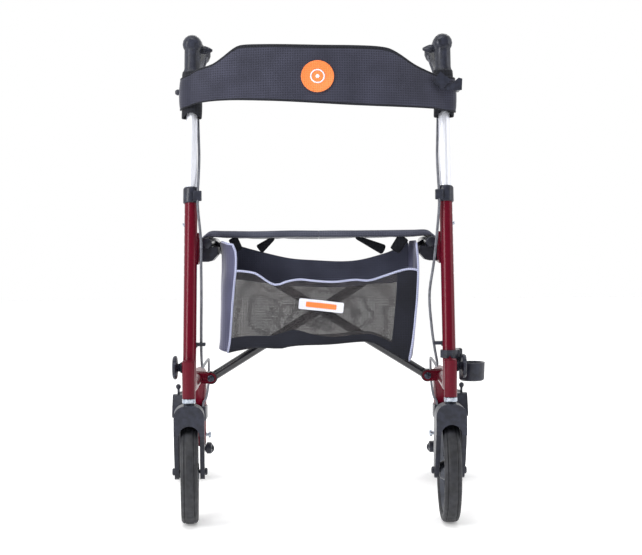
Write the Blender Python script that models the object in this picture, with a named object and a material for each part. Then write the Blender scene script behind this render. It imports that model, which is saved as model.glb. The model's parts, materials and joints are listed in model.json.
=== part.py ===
"""Folding rollator walker: two bent-tube side frames joined by an X brace, with seat, bag, backrest band,
height-adjustable handles with brakes, two swivelling front casters and two braked rear wheels.

Metres, +Z up. The walker stands on z = 0, its front (the casters) towards -Y and its user behind it at +Y.
Left and right are as seen from the front, so the left side is at -X. Every side part is made by a function
of side, which is -1 on the left and +1 on the right.
"""

import math

import bmesh
import bpy
from mathutils import Matrix, Vector

for old in list(bpy.data.objects):
    bpy.data.objects.remove(old, do_unlink=True)

GAP = 0.0003  # clearance between neighbouring pieces that touch or slide

# wheels
WHEEL_R = 0.100
TYRE_HALF = 0.015
FRONT_TYRE_WIDER = 0.0015  # how much further each side of a front tyre reaches
RIM_R = 0.083
FRONT_AXLE_Y = -0.250
REAR_AXLE_Y = 0.250
REAR_WHEEL_X = 0.311
AXLE_R = 0.004

# side frames
FRAME_X = 0.2495
STEER_Y = -0.288  # steering axis, ahead of the front axle by the caster trail
CASTER_TURN = {-1: math.radians(4.5), 1: 0.0}  # how far each caster has swung from straight ahead
FORK_HALF, BLADE = 0.0290, 0.0090
TUBE_R = 0.0127
LEAN = math.radians(11.5)
MAIN_FOOT_Y, MAIN_FOOT_Z = -0.263, 0.317
MAIN_TOP_Z = 0.635
RAIL_LOW_Z = 0.262
KNEE_X, KNEE_Y = 0.2575, 0.075
LEG_END = (0.2762, 0.272, 0.0796)
HEAD_R, HEAD_LOW, HEAD_TOP = 0.0125, 0.246, 0.317

# handle posts
POST_R, POST_BORE_R = 0.011, 0.0095
POST_LOW_Z, POST_TOP_Z = 0.450, 0.905
BUTTON_Z, BUTTON_R = 0.578, 0.0035
HOLE_PITCH, HOLES_BELOW, HOLES_ABOVE = 0.020, 5, 1  # latch holes for the handle height

# X brace and seat
PIVOT_X, PIVOT_Z = 0.223, 0.264
SEAT_RAIL_Z = 0.541
SEAT_RAIL_R = 0.010
SEAT_RAIL_FRONT, SEAT_RAIL_BACK = -0.165, 0.075
BRACE_A_Y, BRACE_B_Y = -0.0725, -0.0475
BRACE_R = 0.0095
SEAT_FRONT, SEAT_BACK = -0.155, 0.065
SEAT_TIP = 0.201  # reach of each seat half from its rail towards the middle
SEAT_TOP, SEAT_UNDER = 0.5665, 0.5525

# handles
GRIP_Z = 0.937
GRIP_BACK_Y = 0.012
LEVER_Y, LEVER_Z = -0.122, 0.928

# clamp knobs and cane cup
KNOB_Y, KNOB_Z = -0.262, 0.303
CUP_X, CUP_Y, CUP_R, CUP_LOW, CUP_TOP = 0.2987, -0.205, 0.0262, 0.2687, 0.305

# bag and backrest band
BAG_X, BAG_FRONT, BAG_BACK, BAG_LOW, BAG_TOP = 0.183, -0.203, -0.093, 0.315, 0.545
BAG_WALL = 0.004
BAND_T = 0.006
BAND_BOW_Y = -0.262


def main_y(z):
    """Y of the main tube's axis at height z."""
    return MAIN_FOOT_Y + math.tan(LEAN) * (z - MAIN_FOOT_Z)


UP_TUBE = Vector((0, math.sin(LEAN), math.cos(LEAN)))


def at(side, x, y, z):
    return Vector((side * x, y, z))


# ---------------------------------------------------------------- materials


def paint(name, colour, roughness, metallic=0.0):
    material = bpy.data.materials.new(name)
    material.use_nodes = True
    shader = material.node_tree.nodes["Principled BSDF"]
    shader.inputs["Base Color"].default_value = (*colour, 1)
    shader.inputs["Roughness"].default_value = roughness
    shader.inputs["Metallic"].default_value = metallic
    material.diffuse_color = (*colour, 1)
    return material


RED = paint("burgundy_lacquer", (0.20, 0.008, 0.020), 0.25, 0.3)
SILVER = paint("anodised_aluminium", (0.80, 0.81, 0.85), 0.30, 1.0)
STEEL = paint("zinc_plated_steel", (0.45, 0.46, 0.50), 0.35, 1.0)
BLACK = paint("black_nylon", (0.030, 0.031, 0.038), 0.45)
BRACE_BLACK = paint("black_powder_coat", (0.020, 0.020, 0.024), 0.40)
RUBBER = paint("black_rubber", (0.018, 0.018, 0.020), 0.75)
TYRE = paint("tyre_polyurethane", (0.022, 0.022, 0.026), 0.55)
HUB = paint("grey_hub_plastic", (0.060, 0.062, 0.070), 0.45)
CABLE = paint("cable_housing", (0.035, 0.035, 0.042), 0.50)
FABRIC = paint("black_polyester", (0.025, 0.025, 0.032), 0.85)
MESH_FABRIC = paint("mesh_fabric", (0.055, 0.053, 0.052), 0.85)


# ---------------------------------------------------------------- shape helpers


def circle(radius, sides, start=0.0):
    turn = 2 * math.pi / sides
    return [
        (radius * math.cos(start + i * turn), radius * math.sin(start + i * turn))
        for i in range(sides)
    ]


def arc(centre, radius, first, last, pieces):
    """Points of an arc in a plane, from the angle first to last, in degrees."""
    angles = [math.radians(first + (last - first) * i / pieces) for i in range(pieces + 1)]
    return [(centre[0] + radius * math.cos(a), centre[1] + radius * math.sin(a)) for a in angles]


def frame_of(axis):
    """Two directions square to axis and to each other."""
    axis = axis.normalized()
    helper = Vector((1, 0, 0)) if abs(axis.x) < 0.8 else Vector((0, 0, 1))
    u = axis.cross(helper).normalized()
    return u, axis.cross(u).normalized()


def solid(name, bm, material, sharp=35):
    """An object of a closed bmesh, faces out, smooth but for edges over the sharp angle."""
    bmesh.ops.remove_doubles(bm, verts=bm.verts, dist=1e-6)
    bmesh.ops.recalc_face_normals(bm, faces=bm.faces)
    mesh = bpy.data.meshes.new(name)
    bm.to_mesh(mesh)
    bm.free()
    mesh.materials.append(material)
    obj = bpy.data.objects.new(name, mesh)
    bpy.context.scene.collection.objects.link(obj)
    smooth(obj, sharp)
    return obj


def smooth(obj, sharp=35):
    obj.data.shade_smooth()
    obj.data.set_sharp_from_angle(angle=math.radians(sharp))


def loft(rings, closed_ends=True, ring_loop=False):
    """A bmesh skinned over rings of equally many points; ring_loop joins the last ring to the first."""
    bm = bmesh.new()
    rows = [[bm.verts.new(p) for p in ring] for ring in rings]
    count = len(rows[0])
    pairs = list(zip(rows, rows[1:])) + ([(rows[-1], rows[0])] if ring_loop else [])
    for low, high in pairs:
        for i in range(count):
            j = (i + 1) % count
            bm.faces.new((low[i], low[j], high[j], high[i]))
    if closed_ends and not ring_loop:
        bm.faces.new(rows[0][::-1])
        bm.faces.new(rows[-1])
    return bm


def turned(start, axis, profile, sides=20, ring=False):
    """A solid of revolution. profile holds (distance along axis, radius); ring closes it round a bore."""
    axis = axis.normalized()
    u, v = frame_of(axis)
    rings = []
    for distance, radius in profile:
        centre = start + axis * distance
        rings.append([centre + u * a + v * b for a, b in circle(max(radius, 1e-7), sides)])
    return loft(rings, ring_loop=ring)


def rod(name, start, end, radius, material, sides=16):
    span = end - start
    return solid(name, turned(start, span, [(0, radius), (span.length, radius)], sides), material)


def swept(points, section, up=None):
    """A section of (u, v) points carried along a path; u starts nearest to up."""
    count = len(points)
    tangents = []
    for i in range(count):
        before, after = points[max(i - 1, 0)], points[min(i + 1, count - 1)]
        tangents.append((after - before).normalized())
    if up is None:
        u = frame_of(tangents[0])[0]
    else:
        u = (up - tangents[0] * up.dot(tangents[0])).normalized()
    rings = []
    for point, tangent in zip(points, tangents):
        u = (u - tangent * u.dot(tangent)).normalized()
        v = tangent.cross(u)
        rings.append([point + u * a + v * b for a, b in section])
    return loft(rings)


def filleted(corners, radii, pieces=6):
    """A path through corners, each inner corner rounded to its radius."""
    path = [corners[0]]
    for before, corner, after, radius in zip(corners, corners[1:], corners[2:], radii):
        a, b = (before - corner).normalized(), (after - corner).normalized()
        half = a.angle(b) / 2
        reach = radius / math.tan(half)
        centre = corner + (a + b).normalized() * (radius / math.sin(half))
        first, last = corner + a * reach - centre, corner + b * reach - centre
        whole = first.angle(last)
        for i in range(pieces + 1):
            share = i / pieces
            swing = first * math.sin((1 - share) * whole) + last * math.sin(share * whole)
            path.append(centre + swing / math.sin(whole))
    path.append(corners[-1])
    return path


def smooth_path(points, spacing):
    """Evenly spaced points on a Catmull-Rom curve through the given ones."""
    ends = [2 * points[0] - points[1], *points, 2 * points[-1] - points[-2]]
    fine = []
    for a, b, c, d in zip(ends, ends[1:], ends[2:], ends[3:]):
        for i in range(24):
            t = i / 24
            fine.append(
                0.5 * (2 * b + (c - a) * t + (2 * a - 5 * b + 4 * c - d) * t**2 + (3 * b - a - 3 * c + d) * t**3)
            )
    fine.append(points[-1])
    length = sum((q - p).length for p, q in zip(fine, fine[1:]))
    count = max(2, round(length / spacing))
    step, out, walked = length / count, [fine[0]], 0.0
    for p, q in zip(fine, fine[1:]):
        piece = (q - p).length
        while walked + piece >= step * len(out) and len(out) < count:
            out.append(p.lerp(q, (step * len(out) - walked) / piece))
        walked += piece
    out.append(fine[-1])
    return out


def plate(outline, thickness):
    """A flat outline of 3D points, extruded by the vector thickness."""
    return loft([outline, [p + thickness for p in outline]])


def block(low, high, bevel=0.0, segments=2):
    low, high = (
        Vector([min(a, b) for a, b in zip(low, high)]),
        Vector([max(a, b) for a, b in zip(low, high)]),
    )
    bm = bmesh.new()
    bmesh.ops.create_cube(bm, size=1)
    bmesh.ops.transform(
        bm, verts=bm.verts, matrix=Matrix.Translation((low + high) / 2) @ Matrix.Diagonal((*(high - low), 1))
    )
    if bevel:
        bmesh.ops.bevel(bm, geom=bm.edges, offset=bevel, segments=segments, affect="EDGES", profile=0.5)
    return bm


def carve(body, tool, operation):
    """Applies a Boolean of tool to body and removes the tool."""
    modifier = body.modifiers.new(operation.lower(), "BOOLEAN")
    modifier.operation = operation
    modifier.object = tool
    graph = bpy.context.evaluated_depsgraph_get()
    made = bpy.data.meshes.new_from_object(body.evaluated_get(graph))
    body.modifiers.clear()
    body.data = made
    bpy.data.objects.remove(tool, do_unlink=True)
    smooth(body)


def join(body, *tools):
    for tool in tools:
        carve(body, tool, "UNION")


def cut(body, *tools):
    for tool in tools:
        carve(body, tool, "DIFFERENCE")


def helper(bm):
    """A tool for join or cut."""
    return solid("tool", bm, BLACK)


def bore(start, end, radius, sides=16):
    span = end - start
    return helper(turned(start, span, [(0, radius), (span.length, radius)], sides))


# ---------------------------------------------------------------- bodies and joint axes

joint_at = {}


def body_empty(name, point, parent=None):
    """The empty on a body's joint axis. Everything of that body hangs on it."""
    empty = bpy.data.objects.new("axis_" + name, None)
    empty.empty_display_size = 0.02
    bpy.context.scene.collection.objects.link(empty)
    joint_at[name] = Vector(point)
    if parent:
        empty.parent = bpy.data.objects["axis_" + parent]
        empty.location = joint_at[name] - joint_at[parent]
    else:
        empty.location = joint_at[name]


def swung(side):
    """Turns what is built straight ahead to where its caster has swung."""
    foot = Matrix.Translation(at(side, FRAME_X, STEER_Y, 0))
    return foot @ Matrix.Rotation(CASTER_TURN[side], 4, "Z") @ foot.inverted()


def mount(obj, body):
    """Hangs an object, made where it stands, on its body's empty. Caster pieces swing to their place first."""
    if body in ("left_caster", "left_front_wheel"):
        obj.data.transform(swung(-1))
    obj.data.transform(Matrix.Translation(-joint_at[body]))
    obj.parent = bpy.data.objects["axis_" + body]
    return obj


SIDES = {-1: "left", 1: "right"}
MIDDLE_Z = (PIVOT_Z + SEAT_RAIL_Z) / 2
BRACE_Y = {-1: BRACE_A_Y, 1: BRACE_B_Y}  # which brace is pinned on each side frame

body_empty("left_frame", (0, 0, 0))
body_empty("cross_a", (-PIVOT_X, BRACE_A_Y, PIVOT_Z), "left_frame")
body_empty("cross_b", (0, (BRACE_A_Y + BRACE_B_Y) / 2, MIDDLE_Z), "cross_a")
body_empty("right_frame", (PIVOT_X, BRACE_B_Y, PIVOT_Z), "cross_b")
body_empty("seat_left", (-PIVOT_X, SEAT_FRONT, SEAT_RAIL_Z), "cross_b")
body_empty("seat_right", (PIVOT_X, SEAT_FRONT, SEAT_RAIL_Z), "cross_a")
body_empty("bag", (-PIVOT_X, BAG_BACK, SEAT_RAIL_Z), "cross_b")
for side, word in SIDES.items():
    frame = word + "_frame"
    body_empty(word + "_post", at(side, FRAME_X, main_y(MAIN_TOP_Z), MAIN_TOP_Z), frame)
    body_empty(word + "_lever", at(side, 0.227, LEVER_Y, LEVER_Z), word + "_post")
    body_empty(word + "_button", at(side, FRAME_X + POST_R, main_y(BUTTON_Z), BUTTON_Z), word + "_post")
    body_empty(word + "_caster", at(side, FRAME_X, STEER_Y, HEAD_LOW), frame)
    body_empty(word + "_front_wheel", swung(side) @ at(side, FRAME_X, FRONT_AXLE_Y, WHEEL_R), word + "_caster")
    body_empty(word + "_rear_wheel", at(side, REAR_WHEEL_X, REAR_AXLE_Y, WHEEL_R), frame)
    body_empty(word + "_brake", at(side, 0.28, 0.1510, 0.1594), frame)
    body_empty(word + "_knob", at(side, 0.2775, KNOB_Y, KNOB_Z), frame)


# ---------------------------------------------------------------- side frames


def frame_path(side):
    corners = [
        at(side, FRAME_X, main_y(MAIN_TOP_Z), MAIN_TOP_Z),
        at(side, FRAME_X, main_y(RAIL_LOW_Z), RAIL_LOW_Z),
        at(side, KNEE_X, KNEE_Y, RAIL_LOW_Z),
        at(side, *LEG_END),
    ]
    return filleted(corners, (0.045, 0.060), pieces=6)


def leg_tube(side, extra):
    """The rear leg's straight stretch, thickened by extra, as a tool that clears it."""
    path = frame_path(side)
    return helper(swept(path[-2:], circle(TUBE_R + extra, 16)))


def side_frame(side, word):
    obj = solid(word + "_side_frame", swept(frame_path(side), circle(TUBE_R, 16, math.pi / 16)), RED)
    head = turned(at(side, FRAME_X, STEER_Y, HEAD_LOW), Vector((0, 0, 1)),
                  [(0, HEAD_R - 0.001), (0.001, HEAD_R), (HEAD_TOP - HEAD_LOW - 0.001, HEAD_R),
                   (HEAD_TOP - HEAD_LOW, HEAD_R - 0.001)], 20)
    weld = block(at(side, FRAME_X - 0.006, STEER_Y + 0.004, 0.256),
                 at(side, FRAME_X + 0.006, MAIN_FOOT_Y + 0.012, 0.311))
    join(obj, helper(head), helper(weld))

    # cheeks that hold the brace's lower pivot between them
    middle = BRACE_Y[side]
    cheek = [(0.2550, 0.2545), (0.2350, 0.2530)]
    cheek += arc((PIVOT_X, PIVOT_Z), 0.0110, 260, 100, 6)
    cheek += [(0.2350, 0.2750), (0.2550, 0.2760)]
    for y in (middle - 0.0150, middle + 0.0120):
        join(obj, helper(plate([at(side, x, y, z) for x, z in cheek], Vector((0, 0.0030, 0)))))

    # gusset plate that carries the seat rail's cradle
    gusset = [(-0.2200, 0.5000), (-0.1000, 0.5040), (-0.1000, 0.5300), (-0.1620, 0.5320),
              (-0.1690, 0.5620), (-0.2080, 0.5620)]
    join(obj, helper(plate([at(side, 0.2345, y, z) for y, z in gusset], at(side, 0.0060, 0, 0))))

    # bores for the post, the caster stem, the pivot bolt and the axle
    deep = 0.345
    cut(obj,
        bore(at(side, FRAME_X, main_y(deep), deep),
             at(side, FRAME_X, main_y(MAIN_TOP_Z + 0.02), MAIN_TOP_Z + 0.02), POST_R + GAP),
        bore(at(side, FRAME_X, STEER_Y, HEAD_LOW - 0.01), at(side, FRAME_X, STEER_Y, HEAD_TOP + 0.01), 0.0078),
        bore(at(side, PIVOT_X, middle - 0.03, PIVOT_Z), at(side, PIVOT_X, middle + 0.03, PIVOT_Z), AXLE_R + GAP),
        bore(at(side, 0.24, REAR_AXLE_Y, WHEEL_R), at(side, 0.30, REAR_AXLE_Y, WHEEL_R), AXLE_R + GAP),
        bore(at(side, FRAME_X + 0.006, KNOB_Y, KNOB_Z), at(side, 0.29, KNOB_Y, KNOB_Z), 0.0045))

    # latch holes for the snap button
    for step in range(-HOLES_BELOW, HOLES_ABOVE + 1):
        hole = at(side, FRAME_X, main_y(BUTTON_Z), BUTTON_Z) + UP_TUBE * (HOLE_PITCH * step)
        cut(obj, bore(hole + at(side, 0.004, 0, 0), hole + at(side, 0.018, 0, 0), BUTTON_R + GAP, 12))
    return mount(obj, word + "_frame")


def collar(side, word, cable):
    """The clamp collar on top of the main tube, with a clip for the brake cable."""
    start = at(side, FRAME_X, main_y(0.619), 0.619)
    high = 0.0316
    obj = solid(word + "_collar",
                turned(start, UP_TUBE, [(0, 0.0145), (0.002, 0.0157), (high - 0.003, 0.0157), (high, 0.0138)], 20),
                BLACK)
    clip = block(at(side, FRAME_X - 0.0215, main_y(0.635) - 0.0205, 0.6240),
                 at(side, FRAME_X - 0.0060, main_y(0.635) - 0.0080, 0.6440), 0.001, 1)
    join(obj, helper(clip))
    seat = (MAIN_TOP_Z - 0.619) / math.cos(LEAN) + GAP
    cut(obj,
        bore(start - UP_TUBE * 0.01, start + UP_TUBE * seat, TUBE_R + GAP),
        bore(start - UP_TUBE * 0.01, start + UP_TUBE * 0.06, POST_R + GAP),
        helper(swept(cable, circle(0.0033, 8))))
    return mount(obj, word + "_frame")


def cable_hook(side, word, cable):
    """The open clip on the main tube that holds the brake cable."""
    z = 0.3420
    start = at(side, FRAME_X, main_y(z), z)
    obj = solid(word + "_cable_hook", turned(start, UP_TUBE, [(0, 0.0150), (0.0085, 0.0150)], 20), BLACK)
    join(obj, helper(block(at(side, FRAME_X - 0.0290, main_y(z) + 0.0060, z + 0.0010),
                           at(side, FRAME_X - 0.0080, main_y(z) + 0.0215, z + 0.0075), 0.001, 1)))
    cut(obj, bore(start - UP_TUBE * 0.02, start + UP_TUBE * 0.03, TUBE_R + GAP),
        helper(swept(cable, circle(0.0033, 8))),
        helper(block(at(side, FRAME_X + 0.0040, main_y(z) - 0.03, z - 0.02),
                     at(side, FRAME_X + 0.0300, main_y(z) + 0.03, z + 0.03))),
        helper(block(at(side, FRAME_X - 0.0300, main_y(z) - 0.03, z - 0.02),
                     at(side, FRAME_X + 0.0300, main_y(z) - 0.002, z + 0.03))))
    return mount(obj, word + "_frame")


def cradle(side, word):
    """The saddle that the seat rail rests in when the walker is open."""
    obj = solid(word + "_rail_cradle",
                plate([at(side, x, -0.160, z) for x, z in ((0.2015, 0.5180), (0.2120, 0.5060), (0.2200, 0.5040),
                                                           (0.2342, 0.5040), (0.2342, 0.5330), (0.2015, 0.5330))],
                      Vector((0, 0.058, 0))), BLACK)
    cut(obj, bore(at(side, PIVOT_X, -0.17, SEAT_RAIL_Z), at(side, PIVOT_X, -0.09, SEAT_RAIL_Z),
                  SEAT_RAIL_R + 2 * GAP, 20))
    return mount(obj, word + "_frame")


def head_parts(side, word):
    foot = at(side, FRAME_X, STEER_Y, 0)
    up = Vector((0, 0, 1))
    ring = [(0.2370, 0.0066), (0.2370, 0.0118), (0.2385, 0.0127), (HEAD_LOW - GAP, 0.0127),
            (HEAD_LOW - GAP, 0.0074), (0.262, 0.0074), (0.262, 0.0066)]
    mount(solid(word + "_head_bush", turned(foot, up, ring, 20, ring=True), STEEL), word + "_frame")
    cap = [(0.306, 0.0070), (HEAD_TOP + GAP, 0.0072), (HEAD_TOP + GAP, 0.0118), (0.3185, 0.0115),
           (0.3195, 0.0090), (0.3198, 0.0)]
    mount(solid(word + "_head_cap", turned(foot, up, cap, 20), BLACK), word + "_frame")


def pivot_bolt(side, word):
    y = BRACE_Y[side]
    profile = [(-0.0215, 0.0045), (-0.0200, 0.0072), (-0.0155, 0.0072), (-0.0155, AXLE_R),
               (0.0155, AXLE_R), (0.0155, 0.0068), (0.0200, 0.0068), (0.0212, 0.0040)]
    mount(solid(word + "_pivot_bolt", turned(at(side, PIVOT_X, y, PIVOT_Z), Vector((0, 1, 0)), profile, 12), STEEL),
          word + "_frame")


def rear_axle(side, word):
    profile = [(0.2500, 0.0050), (0.2515, 0.0075), (0.2560, 0.0075), (0.2560, AXLE_R),
               (0.3285, AXLE_R), (0.3285, 0.0078), (0.3340, 0.0078), (0.3360, 0.0050)]
    mount(solid(word + "_rear_axle",
                turned(at(side, 0, REAR_AXLE_Y, WHEEL_R), at(side, 1, 0, 0), profile, 12), STEEL),
          word + "_frame")


def brake_block(side, word, cable):
    """The housing clamped round the rear leg, where the cable ends and the brake arm turns."""
    obj = solid(word + "_brake_block",
                block(at(side, 0.2525, 0.134, 0.146), at(side, 0.2895, 0.190, 0.178), 0.003), BLACK)
    cut(obj, leg_tube(side, GAP),
        bore(at(side, 0.262, 0.1510, 0.1594), at(side, 0.30, 0.1510, 0.1594), 0.0043, 12))
    end, along = cable[-1], (cable[-1] - cable[-2]).normalized()
    cut(obj, bore(end + along * 0.001, end - along * 0.02, 0.0034, 12))
    return mount(obj, word + "_frame")


def tipping_lever(side, word):
    """The foot lever low on the rear leg, for lifting the casters over a kerb."""
    hub = turned(at(side, 0.2500, 0.2620, 0.0670), at(side, 1, 0, 0),
                 [(0, 0.0115), (0.0020, 0.0135), (0.0112, 0.0135)], 20)
    obj = solid(word + "_tipping_lever", hub, BLACK)
    path = filleted([at(side, 0.2545, 0.262, 0.067), at(side, 0.2575, 0.298, 0.0600),
                     at(side, 0.2620, 0.332, 0.0560)], (0.03,), 3)
    join(obj, helper(swept(path, circle(0.0065, 10))),
         helper(turned(at(side, 0.2595, 0.312, 0.0580), path[-1] - path[-2],
                       [(0, 0.0080), (0.002, 0.0115), (0.026, 0.0125), (0.029, 0.0100)], 14)))
    cut(obj, leg_tube(side, GAP))
    return mount(obj, word + "_frame")


def clamp_knob(side, word):
    """The hand knob on the outside of the main tube's foot."""
    out = at(side, 1, 0, 0)
    axis = at(side, 0, KNOB_Y, KNOB_Z)
    obj = solid(word + "_knob",
                turned(axis, out, [(0.2590, 0.0042), (0.2640, 0.0042), (0.2640, 0.0105), (0.2660, 0.0110),
                                   (0.2690, 0.0080), (0.2715, 0.0075), (0.2725, 0.0100), (0.2740, 0.0205),
                                   (0.2755, 0.0230), (0.2790, 0.0230), (0.2815, 0.0205), (0.2800, 0.0080),
                                   (0.2795, 0.0)], 24), BLACK)
    for i in range(6):
        angle = math.radians(30 + 60 * i)
        centre = axis + Vector((0, math.cos(angle), math.sin(angle))) * 0.0275
        cut(obj, bore(centre + out * 0.27, centre + out * 0.29, 0.0070, 12))
    return mount(obj, word + "_knob")


# ---------------------------------------------------------------- X brace and seat


def brace(name, side, y, body):
    """One arm of the X: pinned low on the side frame at side, with the seat rail on its far end."""
    low, high = at(side, PIVOT_X, y, PIVOT_Z), at(-side, PIVOT_X, y, SEAT_RAIL_Z)
    along = (high - low).normalized()
    obj = solid(name, turned(low, along, [(0.002, BRACE_R), ((high - low).length - 0.003, BRACE_R)], 16),
                BRACE_BLACK)
    join(obj,
         bore(low + Vector((0, -0.0100, 0)), low + Vector((0, 0.0100, 0)), 0.0130, 20),
         bore(at(-side, PIVOT_X, SEAT_RAIL_FRONT, SEAT_RAIL_Z), at(-side, PIVOT_X, SEAT_RAIL_BACK, SEAT_RAIL_Z),
              SEAT_RAIL_R, 20))
    centre = Vector((0, y, MIDDLE_Z))
    reach = Vector((0, 0.03, 0))
    cut(obj, bore(low - reach, low + reach, AXLE_R + GAP, 12),
        bore(centre - reach, centre + reach, AXLE_R + GAP, 12))
    return mount(obj, body)


def centre_bolt():
    middle = (BRACE_A_Y + BRACE_B_Y) / 2
    gap_half = (BRACE_B_Y - BRACE_A_Y) / 2 - BRACE_R - GAP
    outer = (BRACE_B_Y - BRACE_A_Y) / 2 + BRACE_R + GAP
    profile = [(-outer - 0.0055, 0.0045), (-outer - 0.0042, 0.0072), (-outer, 0.0072), (-outer, AXLE_R),
               (-gap_half, AXLE_R), (-gap_half, 0.0085), (gap_half, 0.0085), (gap_half, AXLE_R),
               (outer, AXLE_R), (outer, 0.0068), (outer + 0.0045, 0.0068), (outer + 0.0056, 0.0040)]
    mount(solid("centre_bolt", turned(Vector((0, middle, MIDDLE_Z)), Vector((0, 1, 0)), profile, 12), STEEL),
          "cross_a")


def rail_cap(side, word, body):
    profile = [(0, 0.0108), (0.0035, 0.0108), (0.0055, 0.0085), (0.0060, 0.0)]
    end = at(side, PIVOT_X, SEAT_RAIL_FRONT - GAP, SEAT_RAIL_Z)
    mount(solid(word + "_rail_cap", turned(end, Vector((0, -1, 0)), profile, 20), BLACK), body)


def seat_half(side, word):
    """Half of the seat cloth, hooked over its rail, notched where the brace joins it."""
    rail = (PIVOT_X, SEAT_RAIL_Z)
    outline = arc(rail, 0.0155, -10, 75, 6)
    outline += [(0.2060, SEAT_TOP), (PIVOT_X - SEAT_TIP, SEAT_TOP), (PIVOT_X - SEAT_TIP, SEAT_UNDER),
                (0.1985, SEAT_UNDER)]
    outline += arc(rail, SEAT_RAIL_R + 2 * GAP, 190, -10, 12)
    obj = solid(f"seat_{word}_half",
                plate([at(side, x, SEAT_FRONT, z) for x, z in outline], Vector((0, SEAT_BACK - SEAT_FRONT, 0))),
                FABRIC)
    y = BRACE_Y[-side]
    cut(obj, helper(block(at(side, 0.1950, y - 0.0115, 0.5300), at(side, 0.2155, y + 0.0115, 0.5488))),
        helper(block(at(side, 0.2308, y - 0.0115, 0.5300), at(side, 0.2450, y + 0.0115, 0.5510))))
    return mount(obj, "seat_" + word)


def bag():
    """The shopping bag below the seat: an open box of cloth with tabs towards the rails."""
    obj = solid("bag", block((-BAG_X, BAG_FRONT, BAG_LOW), (BAG_X, BAG_BACK, BAG_TOP), 0.008), MESH_FABRIC)
    for side in SIDES:
        for y in (-0.158, -0.118):
            join(obj, helper(block(at(side, BAG_X - 0.002, y, 0.5335), at(side, 0.2030, y + 0.018, 0.5415))))
    cut(obj, helper(block((-BAG_X + BAG_WALL, BAG_FRONT + BAG_WALL, BAG_LOW + BAG_WALL),
                          (BAG_X - BAG_WALL, BAG_BACK - BAG_WALL, BAG_TOP + 0.02))))
    return mount(obj, "bag")


# ---------------------------------------------------------------- posts, handles and backrest


def post(side, word):
    low, high = at(side, FRAME_X, main_y(POST_LOW_Z), POST_LOW_Z), at(side, FRAME_X, main_y(POST_TOP_Z), POST_TOP_Z)
    span = (high - low).length
    # the tube is open at its foot and closed at its head
    profile = [(0, POST_BORE_R), (0, POST_R), (span, POST_R), (span, 0)]
    obj = solid(word + "_post", turned(low, UP_TUBE, profile[1:], 16), SILVER)
    cut(obj, bore(low - UP_TUBE * 0.01, high - UP_TUBE * 0.004, POST_BORE_R),
        bore(at(side, FRAME_X + 0.005, main_y(BUTTON_Z), BUTTON_Z),
             at(side, FRAME_X + 0.015, main_y(BUTTON_Z), BUTTON_Z), BUTTON_R + GAP, 12))
    return mount(obj, word + "_post")


def snap_button(side, word):
    start = at(side, FRAME_X + 0.0088, main_y(BUTTON_Z), BUTTON_Z)
    profile = [(0, BUTTON_R), (0.0062, BUTTON_R), (0.0074, 0.0026), (0.0078, 0.0)]
    mount(solid(word + "_snap_button", turned(start, at(side, 1, 0, 0), profile, 12), STEEL), word + "_button")


def handle(side, word):
    """The moulded handle: a sleeve over the post that bends back into the bar under the grip."""
    foot_z, bar_front = 0.8735, -0.1140
    foot = at(side, FRAME_X, main_y(foot_z), foot_z)
    corner_z = GRIP_Z - 0.001
    path = filleted([foot + UP_TUBE * 0.004, at(side, FRAME_X, main_y(corner_z), corner_z),
                     at(side, FRAME_X, bar_front - 0.004, GRIP_Z + 0.001)], (0.0165,), 5)
    obj = solid(word + "_handle", swept(path, circle(0.0160, 16)), BLACK)
    join(obj,
         helper(turned(foot, UP_TUBE, [(0, 0.0150), (0.002, 0.0175), (0.008, 0.0180), (0.016, 0.0158)], 16)),
         helper(turned(at(side, FRAME_X, -0.1560, GRIP_Z), Vector((0, 1, 0)),
                       [(0, 0.0095), (0.003, 0.0150), (0.010, 0.0190), (0.030, 0.0195), (0.0420, 0.0185)], 16)),
         bore(at(side, FRAME_X, bar_front - 0.006, GRIP_Z + 0.0005), at(side, FRAME_X, -0.004, GRIP_Z + 0.0005),
              0.0090),
         bore(at(side, 0.2430, LEVER_Y, LEVER_Z), at(side, 0.2298, LEVER_Y, LEVER_Z), 0.0085),
         bore(at(side, 0.2440, LEVER_Y, LEVER_Z), at(side, 0.2190, LEVER_Y, LEVER_Z), 0.0030, 12))
    cut(obj, bore(foot - UP_TUBE * 0.02, at(side, FRAME_X, main_y(POST_TOP_Z + GAP), POST_TOP_Z + GAP),
                  POST_R + GAP))
    return mount(obj, word + "_post")


def grip(side, word):
    front = at(side, FRAME_X, -0.1140 + GAP + 0.0004, GRIP_Z + 0.0005)
    long = GRIP_BACK_Y + 0.1133
    profile = [(0, 0.0180), (0.004, 0.0186), (0.030, 0.0168), (0.060, 0.0178), (0.095, 0.0168),
               (long - 0.010, 0.0176), (long - 0.003, 0.0165), (long, 0.0130)]
    obj = solid(word + "_grip", turned(front, Vector((0, 1, 0)), profile, 20), RUBBER)
    cut(obj, bore(front - Vector((0, 0.01, 0)), at(side, FRAME_X, -0.0037, GRIP_Z + 0.0005), 0.0093))
    return mount(obj, word + "_post")


def brake_lever(side, word):
    """The lever below the grip. It turns on the pin at its front."""
    centre = at(side, 0, LEVER_Y, LEVER_Z)
    out = at(side, 1, 0, 0)
    obj = solid(word + "_brake_lever",
                turned(centre, out, [(0.2110, 0.0022), (0.2150, 0.0048), (0.2215, 0.0078), (0.2255, 0.0090),
                                       (0.2293, 0.0090)], 16), BLACK)
    path = smooth_path([at(side, 0.2212, -0.1240, 0.9250), at(side, 0.2240, -0.103, 0.9130),
                        at(side, 0.2385, -0.074, 0.9035), at(side, 0.2470, -0.038, 0.8940),
                        at(side, 0.2490, 0.002, 0.8860)], 0.016)
    section = [(0.0030 / 0.0065 * a, b) for a, b in circle(0.0065, 12)]
    join(obj, helper(swept(path, section, Vector((0, 0, 1)))))
    cut(obj, bore(centre + out * 0.2180, centre + out * 0.2500, 0.0034, 12))
    return mount(obj, word + "_lever")


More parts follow.
